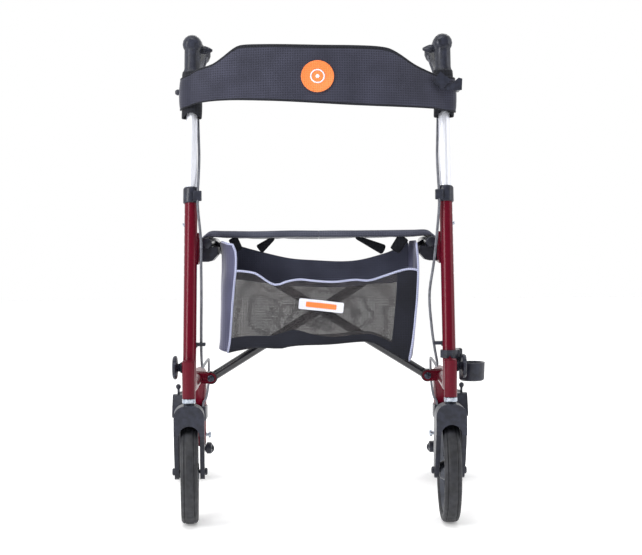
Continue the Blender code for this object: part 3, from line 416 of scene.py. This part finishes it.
# %% Tyres with their grooves
# half of the tyre's section, from its bead to its crown: distance from the middle, radius
TREAD = [(0.0110, 0.0830), (0.0136, 0.0856), (0.0149, 0.0892), (0.0148, 0.0925), (0.0137, 0.0955),
         (0.0118, 0.0977), (0.0094, 0.0988), (0.0086, 0.0989), (0.0082, 0.0977), (0.0073, 0.0977),
         (0.0069, 0.0992), (0.0036, 0.0998), (0.0, 0.0999)]
TREAD += [(-x, r) for x, r in TREAD[-2::-1]]
FRONT_WIDER = 0.0015  # a front tyre reaches this much further to each side
AROUND = 96
rolls = {joint["name"]: joint for joint in frame["joints"]}
for word in ("left", "right"):
    for place in ("front", "rear"):
        joint = rolls[f"{word}_{place}_roll"]
        centre, axle = Vector(joint["pos_m"]), Vector(joint["axis"]).normalized()
        first = Vector((0, 0, 1))
        second = axle.cross(first)
        wider = FRONT_WIDER if place == "front" else 0.0
        section = [(x + math.copysign(wider, x) * (x != 0), r) for x, r in TREAD]
        points = [centre + axle * x + (first * math.cos(a) + second * math.sin(a)) * r
                  for a in [2 * math.pi * i / AROUND for i in range(AROUND)] for x, r in section]
        width = len(TREAD)
        faces = [(i * width + k, i * width + (k + 1) % width, (i + 1) % AROUND * width + (k + 1) % width,
                  (i + 1) % AROUND * width + k) for i in range(AROUND) for k in range(width)]
        mesh = bpy.data.meshes.new(f"{word}_{place}_tread")
        mesh.from_pydata([tuple(p) for p in points], [], faces)
        bm = bmesh.new()
        bm.from_mesh(mesh)
        bmesh.ops.recalc_face_normals(bm, faces=bm.faces)
        bm.to_mesh(mesh)
        bm.free()
        mesh.materials.append(tyre_pu)
        mesh.shade_smooth()
        tread = bpy.data.objects.new(f"{word}_{place}_tread", mesh)
        scene.collection.objects.link(tread)
        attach(tread, f"{word}_{place}_wheel")
        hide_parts(f"{word}_{place}_tyre")
print("tyres: 4, each", AROUND, "stations of", width, "points")

# %% [markdown]
# ## Cloth finishes
#
# The seat and backrest band are black polyester canvas: a plain weave whose threads catch light one by one.
# The bag is open polyester mesh between solid panels, edged with a pale piping. Mesh is drawn as a honeycomb of
# threads with thinner cloth between, so the brace behind it shows through softly.

# %% Woven and mesh cloth


def weave(material, shader, where, pitch_mm, depth_mm, strength=0.6):
    """A plain weave: two sets of threads that take turns on top. Returns its height."""
    heights = []
    for turn in ((0, 0, 0), (0, math.radians(90), 0)):
        laid = add(material, "ShaderNodeMapping", {"Vector": where, "Rotation": turn})
        wave = {"Vector": laid.outputs["Vector"], "Scale": 1000 / pitch_mm / 6.283, "Distortion": 0.6,
                "Detail": 1.0}
        heights.append(add(material, "ShaderNodeTexWave", wave, bands_direction="X").outputs["Fac"])
    both = add(material, "ShaderNodeMath", {0: heights[0], 1: heights[1]}, operation="MAXIMUM")
    bump = add(material, "ShaderNodeBump",
               {"Height": both.outputs["Value"], "Distance": depth_mm / 1000, "Strength": strength})
    link(material, bump.outputs["Normal"], shader, "Normal")
    return both.outputs["Value"]


def woven(name, dark, light, pitch_mm=2.4, sheen=0.25):
    """Polyester cloth whose colour is darkened between its threads as painted shade and lightened on their tops
    as painted highlight, in random patches. Threads are drawn 4 times as coarse.
    """
    material, shader, where = start(name, light, 0.80, Sheen_Weight=sheen, Sheen_Roughness=0.4)
    shader.inputs["Specular IOR Level"].default_value = 0.25
    height = weave(material, shader, where, pitch_mm, 0.25)
    patch = add(material, "ShaderNodeTexNoise", {"Vector": where, "Scale": 18.0, "Detail": 4.0})
    mixed = add(material, "ShaderNodeMath", {0: height, 1: patch.outputs["Fac"]}, operation="MULTIPLY")
    # painted shade darkens the cloth between its threads and a painted highlight lightens their tops, varied in
    # random patches
    thread_shade_and_patches = add(material, "ShaderNodeValToRGB", {"Fac": mixed.outputs["Value"]})
    thread_shade_and_patches.color_ramp.elements[0].position, thread_shade_and_patches.color_ramp.elements[1].position = 0.05, 0.60
    thread_shade_and_patches.color_ramp.elements[0].color, thread_shade_and_patches.color_ramp.elements[1].color = linear(dark), linear(light)
    link(material, thread_shade_and_patches.outputs["Color"], shader, "Base Color")
    return material


canvas = woven("black_polyester_canvas", "23242F", "3E3F4F", sheen=0.35)
# the seat's black canvas is painted lighter than the band's, a painted light for the light falling on the seat
seat_canvas_painted_lighter = woven("seat_polyester_canvas_painted_lighter", "3A3C49", "585A69", sheen=0.35)
lining = woven("bag_side_polyester", "40415A", "62637F", 2.4, 0.4)
bag_solid = woven("black_bag_polyester", "121319", "232530", 2.4, 0.2)
bag_inner = woven("bag_back_polyester", "30323F", "54576A", 2.4, 0.35)
webbing = woven("black_webbing", "111217", "22242C", 3.2, 0.15)
piping = woven("pale_piping_tape", "8F94B2", "BDC2DE", 2.0, 0.3)
patch_orange = woven("orange_embroidered_patch", "E87333", "FF9458", 1.8, 0.2)
label_white = woven("white_woven_label", "D2D4E2", "EEEFF6", 1.8, 0.2)

# mesh threads of 0.8 mm stand 3.2 mm apart, and the finer net between them hides most of what is behind
mesh_cloth, shader, where = start("open_polyester_mesh", "3B3A3A", 0.75, Sheen_Weight=0.15)
cells = add(mesh_cloth, "ShaderNodeTexVoronoi", {"Vector": where, "Scale": 1000 / 3.2, "Randomness": 0.3},
            feature="DISTANCE_TO_EDGE")
threads = add(mesh_cloth, "ShaderNodeMapRange",
              {"Value": cells.outputs["Distance"], "From Min": 0.08, "From Max": 0.22, "To Min": 0.82,
               "To Max": 0.50})
link(mesh_cloth, threads.outputs["Result"], shader, "Alpha")
mottle(mesh_cloth, shader, where, "1A191D", "322E30", 38)
cloths = (canvas, seat_canvas_painted_lighter, lining, bag_solid, bag_inner, webbing, piping, patch_orange, label_white,
          mesh_cloth)
print("cloth:", [m.name for m in cloths])

# %% [markdown]
# ## Building cloth pieces
#
# Cloth here is made as grids of points: a rule gives each point its place, neighbouring points make faces,
# and a subdivision rounds the result. Small waves of noise keep long surfaces from looking machined.

# %% Helpers for cloth pieces


def piece(name, points, faces, finishes, body, finish_numbers=None, smooth_levels=1):
    """A cloth piece from points and faces, in its finishes, riding on a body."""
    mesh = bpy.data.meshes.new(name)
    mesh.from_pydata([tuple(p) for p in points], [], faces)
    for finish in finishes:
        mesh.materials.append(finish)
    for face, number in zip(mesh.polygons, finish_numbers or ()):
        face.material_index = number
    bm = bmesh.new()
    bm.from_mesh(mesh)
    bmesh.ops.recalc_face_normals(bm, faces=bm.faces)
    bm.to_mesh(mesh)
    bm.free()
    mesh.shade_smooth()
    obj = bpy.data.objects.new(name, mesh)
    scene.collection.objects.link(obj)
    if smooth_levels:
        soften = obj.modifiers.new("soften", "SUBSURF")
        soften.levels = soften.render_levels = smooth_levels
    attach(obj, body)
    return obj


def grid_faces(rows, columns, loop=False):
    """Faces of a grid of points stored row by row; loop joins each row's last point to its first."""
    faces = []
    for r in range(rows - 1):
        for c in range(columns if loop else columns - 1):
            d = (c + 1) % columns
            faces.append((r * columns + c, r * columns + d, (r + 1) * columns + d, (r + 1) * columns + c))
    return faces


def through(table, x):
    """The value at x of a smooth curve through a table of (x, value) in order of x."""
    if x <= table[0][0]:
        return table[0][1]
    if x >= table[-1][0]:
        return table[-1][1]
    i = next(k for k in range(len(table) - 1) if x <= table[k + 1][0])
    (x0, v0), (x1, v1) = table[i], table[i + 1]
    (xa, va), (xb, vb) = table[max(0, i - 1)], table[min(len(table) - 1, i + 2)]
    step = x1 - x0
    t = (x - x0) / step
    slope0, slope1 = (v1 - va) / (x1 - xa) * step, (vb - v0) / (xb - x0) * step
    return ((2 * t**3 - 3 * t**2 + 1) * v0 + (t**3 - 2 * t**2 + t) * slope0
            + (3 * t**2 - 2 * t**3) * v1 + (t**3 - t**2) * slope1)


def crumple(point, size, height):
    """A small smooth wave, the same every run."""
    return height * noise.noise(Vector(point) / size)


def tube(name, points, radius, finish, body, sides=8):
    """A round cord or piping along the given points, as a closed mesh with rounded ends."""
    line = [Vector(p) for p in points]
    before = line[0] + (line[0] - line[1]).normalized() * radius * 0.8
    after = line[-1] + (line[-1] - line[-2]).normalized() * radius * 0.8
    rings = [(before, 0.35)] + [(p, 1.0) for p in line] + [(after, 0.35)]
    made = []
    side_way = Vector((0, 1, 0)) if abs((line[1] - line[0]).normalized().y) < 0.9 else Vector((1, 0, 0))
    for i, (centre, share) in enumerate(rings):
        run = (rings[min(len(rings) - 1, i + 1)][0] - rings[max(0, i - 1)][0]).normalized()
        across = run.cross(side_way).normalized()
        side_way = across.cross(run).normalized()
        for c in range(sides):
            turn = 2 * math.pi * c / sides
            made.append(centre + (across * math.cos(turn) + side_way * math.sin(turn)) * radius * share)
    faces = grid_faces(len(rings), sides, loop=True)
    faces += [tuple(range(sides - 1, -1, -1)), tuple(range((len(rings) - 1) * sides, len(rings) * sides))]
    return piece(name, made, faces, [finish], body, smooth_levels=0)


print("cloth helpers ready")

# %% [markdown]
# ## Backrest band
#
# A wide band of padded canvas bows forward between the two posts. Its upper edge is high in the middle and drops
# to the posts in a soft S, and both edges are bound with a darker tape. Each end wraps a sleeve on its post.
# A band is a long strip with the same cross-section everywhere, so it is built by carrying one padded section
# along the band's plan.

# %% The band
POST_X = 0.2495
LEAN_TAN = math.tan(math.radians(11.5))
BAND_MIDDLE_Y, SLEEVE_R = -0.262, 0.0208
TOP_EDGE = [(-0.2716, 0.8680), (-0.2620, 0.8725), (-0.2500, 0.8775), (-0.2369, 0.8840), (-0.2037, 0.8930),
            (-0.1837, 0.9059), (-0.1655, 0.9195), (-0.1540, 0.9255), (-0.1420, 0.9272), (-0.1146, 0.9268),
            (0.0, 0.9226), (0.1009, 0.9220), (0.1245, 0.9206), (0.1402, 0.9175), (0.1600, 0.9071),
            (0.1879, 0.8888), (0.2204, 0.8749), (0.2390, 0.8700), (0.2716, 0.8670)]
LOW_EDGE = [(-0.2716, 0.8026), (-0.2554, 0.8085), (-0.2327, 0.8150), (-0.1837, 0.8172), (-0.1045, 0.8135),
            (0.0, 0.8066), (0.0600, 0.8031), (0.1274, 0.8013), (0.2246, 0.8005), (0.2500, 0.7975),
            (0.2716, 0.7956)]
BAND_LEVEL = 0.832  # height at which the band's plan is drawn
# the padded section: how far up the band, and how far out from its middle, in metres
SECTION = [(0.0, 0.0008), (0.012, 0.0028), (0.050, 0.0032), (0.066, 0.0022), (0.090, 0.0034), (0.30, 0.0046),
           (0.50, 0.0050), (0.70, 0.0046), (0.910, 0.0034), (0.934, 0.0022), (0.950, 0.0032), (0.988, 0.0028),
           (1.0, 0.0008), (0.96, -0.0024), (0.5, -0.0028), (0.04, -0.0024)]
PLAN_LIMIT = 0.9  # share of the band's half length that bows; the rest wraps the post
BINDING = (0, 1, 9, 10, 11, 12, 15)  # faces of the section that are edge tape


def post_y(z):
    """Y of a post's axis at height z."""
    return -0.263 + LEAN_TAN * (z - 0.317)


def band_plan(s):
    """Plan of the band's middle line for s from -1 to 1, at BAND_LEVEL: a bow, then a wrap round each post."""
    side = -1 if s < 0 else 1
    s = abs(s)
    front = post_y(BAND_LEVEL) - SLEEVE_R
    if s < PLAN_LIMIT:
        x = POST_X * s / PLAN_LIMIT
        return side * x, BAND_MIDDLE_Y + (front - BAND_MIDDLE_Y) * (x / POST_X) ** 2
    turn = (s - PLAN_LIMIT) / (1 - PLAN_LIMIT) * math.radians(118)
    return side * (POST_X + SLEEVE_R * math.sin(turn)), post_y(BAND_LEVEL) - SLEEVE_R * math.cos(turn)


stations = 131
points, numbers = [], []
for i in range(stations):
    s = -1 + 2 * i / (stations - 1)
    x, y = band_plan(s)
    ahead, behind = band_plan(min(1, s + 0.004)), band_plan(max(-1, s - 0.004))
    along = Vector((ahead[0] - behind[0], ahead[1] - behind[1], 0)).normalized()
    outward = Vector((along.y, -along.x, 0))
    low, top = through(LOW_EDGE, x), through(TOP_EDGE, x)
    for share, out in SECTION:
        z = low + (top - low) * share
        wave = crumple((x, 0, z * 0.5), 0.08, 0.0016) + crumple((x, 3, z), 0.022, 0.0003)
        middle = Vector((x, y + (z - BAND_LEVEL) * LEAN_TAN, z))
        points.append(middle + outward * (out + wave * (abs(s) < 0.88) + 0.0008))
    numbers += [1 if k in BINDING else 0 for k in range(len(SECTION))]
ends = [tuple(range(len(SECTION) - 1, -1, -1)),
        tuple(range((stations - 1) * len(SECTION), stations * len(SECTION)))]
band = piece("backrest_cloth", points, grid_faces(stations, len(SECTION), loop=True) + ends, [canvas, webbing],
             "left_post", numbers[: (stations - 1) * len(SECTION)] + [1, 1])
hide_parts("backrest_band")
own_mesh(band)
print("band:", stations, "stations of", len(SECTION), "points")

# %% Sleeves on the posts
SLEEVE_LOW, SLEEVE_TOP = 0.7870, 0.8830
for side, word in ((-1, "left"), (1, "right")):
    rows, columns = 14, 28
    points = []
    for inner in (False, True):
        for r in range(rows):
            share = r / (rows - 1) if not inner else 1 - r / (rows - 1)
            for c in range(columns):
                turn = 2 * math.pi * c / columns
                notch = max(0.0, -math.cos(turn)) ** 3 * 0.0115
                z = SLEEVE_LOW + notch + (SLEEVE_TOP - SLEEVE_LOW - notch) * share
                pull = 0.0005 * math.sin(turn * 5 + z * 140)
                radius = (0.0181 if inner else 0.0203) + pull - 0.0012 * (share > 0.96)
                points.append((side * POST_X + radius * math.sin(turn), post_y(z) + radius * math.cos(turn), z))
    faces = grid_faces(2 * rows, columns, loop=True)
    last = (2 * rows - 1) * columns
    faces += [(last + c, last + (c + 1) % columns, (c + 1) % columns, c) for c in range(columns)]
    sleeve = piece(word + "_post_sleeve", points, faces, [webbing], word + "_post")
print("sleeves: 2")

# %% [markdown]
# ### Round patch
#
# A plain orange patch with a raised rim is sewn to the middle of the band. Its white ring and dot are a plain
# ornament, and it carries no words.

# %% The patch
PATCH_Z, PATCH_R = 0.8595, 0.0310


def on_band(x, z, out):
    """A point on the band's front face at x and z, standing out from it by out."""
    s = PLAN_LIMIT * x / POST_X
    ahead, here = band_plan(s + 0.004), band_plan(s)
    along = Vector((ahead[0] - here[0], ahead[1] - here[1], 0)).normalized()
    return Vector((here[0], here[1] + (z - BAND_LEVEL) * LEAN_TAN, z)) + Vector((along.y, -along.x, 0)) * out


def disc(name, rings, finish):
    """A round sewn piece on the band: rings of (radius, height over the band)."""
    columns = 48
    points = []
    for radius, out in rings:
        for c in range(columns):
            turn = 2 * math.pi * c / columns
            points.append(on_band(radius * math.cos(turn), PATCH_Z + radius * math.sin(turn), out))
    faces = grid_faces(len(rings), columns, loop=True)
    faces += [tuple(range(columns)), tuple(range((len(rings) - 1) * columns, len(rings) * columns))]
    made = piece(name, points, faces, [finish], "left_post", smooth_levels=0)
    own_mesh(made)
    return made


disc("patch_dot", [(0.0036, 0.0060), (0.0038, 0.0086), (0.0030, 0.0091), (0.0002, 0.0092)], label_white)
ring_points = [on_band(0.0125 * math.cos(a), PATCH_Z + 0.0125 * math.sin(a), 0.0084)
               for a in [2 * math.pi * i / 36 for i in range(37)]]
ring = tube("patch_ring", ring_points, 0.0014, label_white, "left_post")
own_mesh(ring)
patch = disc("round_patch", [(0.0296, 0.0050), (PATCH_R, 0.0058), (PATCH_R, 0.0078), (0.0300, 0.0086),
                             (0.0286, 0.0080), (0.0100, 0.0081), (0.0002, 0.0081)], patch_orange)
print("patch:", round(2000 * PATCH_R), "mm across")

# %% [markdown]
# ## Seat
#
# The seat is a padded canvas panel, slung between two rails and folded along its middle when the walker closes.
# It hinges round the rails, so each half is its own piece: a pad that thins and curls down over its rail, with a
# line of stitching along every edge and two sewn channels that let it bend.

# %% The two seat halves
RAIL_X, RAIL_Z = 0.223, 0.541
seat_front, seat_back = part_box("seat_left_half")[0][1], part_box("seat_left_half")[1][1]
PAD_MIDDLE, PAD_HALF = 0.5596, 0.0068
# section of the pad from the outer side of the rail to the middle of the seat: x, z, half thickness
SEAT_LINE = [(0.2362, 0.5435, 0.0016), (0.2352, 0.5465, 0.0018), (0.2335, 0.5492, 0.0020),
             (0.2314, 0.5514, 0.0023), (0.2290, 0.5533, 0.0027), (0.2265, 0.5548, 0.0032),
             (0.2238, 0.5562, 0.0037), (0.2212, 0.5576, 0.0045), (0.2180, 0.5589, 0.0056),
             (0.2140, PAD_MIDDLE, 0.0065)]
SEAT_LINE += [(0.206 - 0.0095 * i, PAD_MIDDLE, PAD_HALF) for i in range(22)]
SEAT_LINE += [(0.0030, PAD_MIDDLE, PAD_HALF), (0.0012, PAD_MIDDLE, PAD_HALF), (0.0004, PAD_MIDDLE, PAD_HALF),
              (0.0001, PAD_MIDDLE, PAD_HALF - 0.0004)]
CHANNELS = (0.0735, 0.1470)

for side, word in ((-1, "left"), (1, "right")):
    across = 36
    top, under = [], []
    for i, (x, z, half) in enumerate(SEAT_LINE):
        before, after = SEAT_LINE[max(0, i - 1)], SEAT_LINE[min(len(SEAT_LINE) - 1, i + 1)]
        normal = Vector((-(after[1] - before[1]), 0, after[0] - before[0])).normalized()
        if normal.z < 0:
            normal = -normal
        for c in range(across):
            # points crowd towards the two hems, so that the edges come out round
            share = 0.5 - 0.5 * math.cos(math.pi * c / (across - 1))
            y = seat_front + (seat_back - seat_front) * share
            from_edge = min(y - seat_front, seat_back - y)
            roundness = math.sqrt(max(0.0, 1 - (max(0.0, 0.006 - from_edge) / 0.006) ** 2))
            stitch = 0.0012 * math.exp(-(((from_edge - 0.014) / 0.0022) ** 2))
            pressed = sum(math.exp(-(((x - spot) / 0.0030) ** 2)) for spot in CHANNELS)
            channel = 0.0018 * pressed * (from_edge > 0.012)
            sag = 0.0040 * math.sin(math.pi * share) ** 2 * (1 - (x / RAIL_X) ** 2)
            wave = crumple((side * x, y, 5), 0.06, 0.0010)
            thick = half * max(0.15, roundness) - (stitch + channel) * (x < 0.2)
            middle = Vector((side * x, y, z - (sag + 0.0010 - wave) * (x < 0.2)))
            out = Vector((side * normal.x, 0, normal.z)) * thick
            top.append(middle + out)
            under.append(middle - out)
    rows = len(SEAT_LINE)
    size = rows * across
    faces = grid_faces(rows, across)
    faces += [tuple(size + v for v in face[::-1]) for face in grid_faces(rows, across)]
    rim = [c for c in range(across)] + [r * across + across - 1 for r in range(1, rows)]
    rim += [(rows - 1) * across + c for c in range(across - 2, -1, -1)]
    rim += [r * across for r in range(rows - 2, 0, -1)]
    faces += [(a, b, size + b, size + a) for a, b in zip(rim, rim[1:] + rim[:1])]
    half_seat = piece("seat_pad_" + word, top + under, faces, [seat_canvas_painted_lighter], "seat_" + word)
    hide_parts(f"seat_{word}_half")
    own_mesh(half_seat)
print("seat: front edge", round(seat_front, 3), "back edge", round(seat_back, 3))

# %% [markdown]
# ## Shopping bag
#
# The bag hangs under the seat. Most of its front and back is open mesh; its sides, its floor, the top of its back
# and a strip along the front's bottom and right edge are solid cloth, and pale piping runs down its corners and
# along the sagging mouth. It isn't a box: the mouth droops between its straps, the bottom lifts in the middle,
# and the sides belly out. Every point of it follows from its place round the bag and its height between the
# bag's lower and upper edge at that place.

# %% The bag's outline
BAG_FRONT_Y, BAG_BACK_Y = -0.2010, -0.0960
# height, x of the front panel's two side edges
FRONT_LEFT = [(0.3146, -0.1830), (0.3247, -0.1804), (0.3522, -0.1757), (0.3914, -0.1725), (0.4306, -0.1694),
              (0.4660, -0.1659), (0.4933, -0.1630), (0.5247, -0.1635), (0.5384, -0.1690)]
FRONT_RIGHT = [(0.3080, 0.1765), (0.3520, 0.1843), (0.3990, 0.1894), (0.4380, 0.1930), (0.4970, 0.1950),
               (0.5440, 0.1915)]
MOUTH = [(-0.163, 0.4865), (-0.1352, 0.4816), (-0.1196, 0.4718), (-0.1039, 0.4620), (-0.0902, 0.4585),
         (-0.0764, 0.4640), (-0.0490, 0.4691), (-0.0176, 0.4659), (0.0216, 0.4640), (0.0608, 0.4679),
         (0.0882, 0.4662), (0.1196, 0.4757), (0.1509, 0.4855), (0.1705, 0.4887), (0.1950, 0.4830)]
FLOOR_LINE = [(-0.1830, 0.3235), (-0.1686, 0.3286), (-0.1196, 0.3365), (-0.0725, 0.3350), (-0.0490, 0.3400),
              (0.0216, 0.3424), (0.0800, 0.3470), (0.1040, 0.3460), (0.1392, 0.3287), (0.1765, 0.3085)]
BACK_EDGE = [(-0.1850, 0.5430), (-0.1568, 0.5335), (-0.1120, 0.5213), (-0.0590, 0.5091), (-0.0102, 0.5050),
             (0.0468, 0.5022), (0.0835, 0.5050), (0.1242, 0.5152), (0.1486, 0.5234), (0.1830, 0.5430)]
SIDE_BELLY = {-1: 0.0200, 1: 0.0050}


def front_point(u, h):
    """A point of the front panel: u from left to right, h from its lower edge to the mouth."""
    rough_x = -0.175 + 0.360 * u
    low, top = through(FLOOR_LINE, rough_x), through(MOUTH, rough_x)
    z = low + (top - low) * h
    left, right_x = through(FRONT_LEFT, z), through(FRONT_RIGHT, z)
    x = left + (right_x - left) * u
    held = math.sin(math.pi * u) ** 0.7
    belly = 0.010 * held * math.sin(math.pi * (0.12 + 0.80 * h))
    folds = crumple((x, 7, z * 0.6), 0.050, 0.0060) + crumple((x * 0.7, 9, z * 1.2 + x * 0.4), 0.022, 0.0030)
    return Vector((x, BAG_FRONT_Y - belly + folds * held, z))


def back_low(x):
    return through(FLOOR_LINE, x * 0.95) + 0.012


def back_point(u, h):
    x = -0.1850 + 0.3680 * u
    low, top = back_low(x), through(BACK_EDGE, x)
    z = low + (top - low) * h
    return Vector((x, BAG_BACK_Y + crumple((x, 11, z), 0.06, 0.0040) * math.sin(math.pi * u), z))


def side_point(side, v, h):
    """A point of a side panel: v from the front corner to the back corner."""
    corner = 0 if side < 0 else 1
    front, rear = front_point(corner, h), back_point(corner, h)
    top = through([(0.0, 0.5384), (0.35, 0.5440), (1.0, 0.5430)], v)
    low = front_point(corner, 0).z * (1 - v) + back_low(-0.1850 if side < 0 else 0.1830) * v
    z = low + (top - low) * h
    front_x = through(FRONT_LEFT if side < 0 else FRONT_RIGHT, z)
    belly = SIDE_BELLY[side] * math.sin(math.pi * v) ** 0.7
    pleat = 0.0028 * math.sin(v * 3 * math.pi) * math.sin(math.pi * h) + crumple((v, side, z * 8), 0.4, 0.003)
    x = front_x + (rear.x - front_x) * v + side * (belly + pleat * math.sin(math.pi * v))
    return Vector((x, BAG_FRONT_Y + (rear.y - BAG_FRONT_Y) * v, z))


def hang(obj):
    """Gives a bag piece its own copy of its mesh."""
    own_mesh(obj)
    return obj


print("bag mouth:", round(front_point(0.5, 1).z, 3), "m high in its middle")

# %% The bag's front and back
low_rows, high_rows, left_columns, right_columns = 5, 15, 36, 5
MESH_ENDS = 0.885  # share of the front's width where its mesh ends and the solid strip begins


def strip_height(u):
    """How far up the front's solid bottom strip reaches, as a share of the front's height."""
    rise = 0.10 * math.exp(-(((u - 0.33) / 0.10) ** 2))
    dip = 0.03 * math.exp(-(((u - 0.6) / 0.1) ** 2))
    return 0.10 + 0.07 * (1 - u) + rise - dip


columns = left_columns + right_columns
points = []
for r in range(low_rows + high_rows):
    for c in range(columns):
        if c < left_columns:
            u = MESH_ENDS * c / (left_columns - 1)
        else:
            u = MESH_ENDS + (1 - MESH_ENDS) * (c - left_columns + 1) / right_columns
        strip = strip_height(u)
        h = strip * r / low_rows if r <= low_rows else strip + (1 - strip) * (r - low_rows) / (high_rows - 1)
        points.append(front_point(u, h))
numbers = [1 if r < low_rows or c >= left_columns - 1 else 0
           for r in range(low_rows + high_rows - 1) for c in range(columns - 1)]
front_panel = piece("bag_front", points, grid_faces(low_rows + high_rows, columns), [mesh_cloth, bag_solid],
                    "bag", numbers)
columns, rows = 40, 18
points = [back_point(c / (columns - 1), 0.64 * r / 11 if r < 12 else 0.64 + 0.36 * (r - 11) / 6)
          for r in range(rows) for c in range(columns)]
numbers = [1 if r >= 11 else 0 for r in range(rows - 1) for c in range(columns - 1)]
back_panel = piece("bag_back", points, grid_faces(rows, columns), [mesh_cloth, bag_inner], "bag",
                   numbers)
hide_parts("bag")
hang(front_panel)
hang(back_panel)
print("bag front and back:", len(front_panel.data.polygons) + len(back_panel.data.polygons), "faces")

# %% Side panels and floor
for side, word in ((-1, "left"), (1, "right")):
    panel = piece(f"bag_{word}_side", [side_point(side, c / 11, r / 19) for r in range(20) for c in range(12)],
                  grid_faces(20, 12), [lining], "bag")
    hang(panel)

points = []
for r in range(12):
    v = r / 11
    left, right_end = side_point(-1, v, 0), side_point(1, v, 0)
    ends_mean = [front_point(e, 0) * (1 - v) + back_point(e, 0) * v for e in (0, 1)]
    for c in range(columns):
        u = c / (columns - 1)
        between = front_point(u, 0) * (1 - v) + back_point(u, 0) * v
        points.append(between + left.lerp(right_end, u) - ends_mean[0].lerp(ends_mean[1], u))
bottom = piece("bag_floor", points, grid_faces(12, columns), [bag_solid], "bag")
hang(bottom)
print("bag sides and floor: 3")

# %% Piping
PIPE_R = 0.0022


def pipe(name, points, radius=PIPE_R, finish=None):
    made = tube(name, points, radius, finish or piping, "bag")
    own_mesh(made)


pipe("bag_piping_mouth", [front_point(i / 36, 1.0) for i in range(37)])
pipe("bag_piping_floor", [front_point(i / 24, 0.0) for i in range(25)], 0.0016, webbing)
pipe("bag_piping_left", [side_point(-1, 0, i / 16) for i in range(17)]
     + [side_point(-1, 0.30 * i / 5, 1.0) for i in range(1, 6)])
pipe("bag_piping_right", [side_point(1, 0, i / 16) for i in range(17)])

# %% [markdown]
# ### Straps and label
#
# Flat webbing ties the bag's back to the underside of the seat, and two tabs hold its corners. The label on the
# front is a plain woven tag with one orange stripe.

# %% Straps and label


def strap(name, start_at, end_at, start_width, end_width, thick=0.0016):
    """A flat webbing strap between two points, which may narrow towards its end."""
    run = (end_at - start_at).normalized()
    across = run.cross(Vector((0, 1, 0))).normalized()
    face = run.cross(across).normalized() * (thick / 2)
    points = []
    for i in range(9):
        share = i / 8
        centre = start_at.lerp(end_at, share) + Vector((0, crumple((share, 2, start_at.x * 9), 0.5, 0.003), 0))
        half = across * (start_width + (end_width - start_width) * share) / 2
        points += [centre - half - face, centre - half + face, centre + half + face, centre + half - face]
    faces = grid_faces(9, 4, loop=True) + [(3, 2, 1, 0), (32, 33, 34, 35)]
    made = piece(name, points, faces, [webbing], "bag", smooth_levels=1)
    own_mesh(made)
    return made


strap("bag_strap_left", Vector((-0.1225, -0.100, 0.5265)), Vector((-0.0905, -0.112, 0.5515)), 0.023, 0.009)
strap("bag_strap_right", Vector((0.1345, -0.100, 0.5240)), Vector((0.0740, -0.112, 0.5520)), 0.024, 0.008)
strap("bag_tab_left", Vector((-0.1600, -0.128, 0.5250)), Vector((-0.1730, -0.140, 0.5520)), 0.018, 0.022)
strap("bag_tab_right", Vector((0.1520, -0.128, 0.5220)), Vector((0.1710, -0.140, 0.5520)), 0.024, 0.026)

LABEL_TILT = math.radians(-5.8)


def tag(name, wide, high, proud, finish):
    """A flat tag sewn on the bag's front, standing proud of it."""
    points = []
    for r in range(6):
        for c in range(16):
            a, b = (c / 15 - 0.5) * wide, (r / 5 - 0.5) * high
            x = 0.0040 + a * math.cos(LABEL_TILT) - b * math.sin(LABEL_TILT)
            z = 0.4178 + a * math.sin(LABEL_TILT) + b * math.cos(LABEL_TILT)
            h = (z - through(FLOOR_LINE, x)) / (through(MOUTH, x) - through(FLOOR_LINE, x))
            left, right_x = through(FRONT_LEFT, z), through(FRONT_RIGHT, z)
            points.append(front_point((x - left) / (right_x - left), h) - Vector((0, proud, 0)))
    made = piece(name, points, grid_faces(6, 16), [finish], "bag")
    return hang(made)


tag("bag_label", 0.088, 0.0205, 0.0026, label_white)
tag("bag_label_stripe", 0.060, 0.0100, 0.0032, patch_orange)
print("bag trim done")
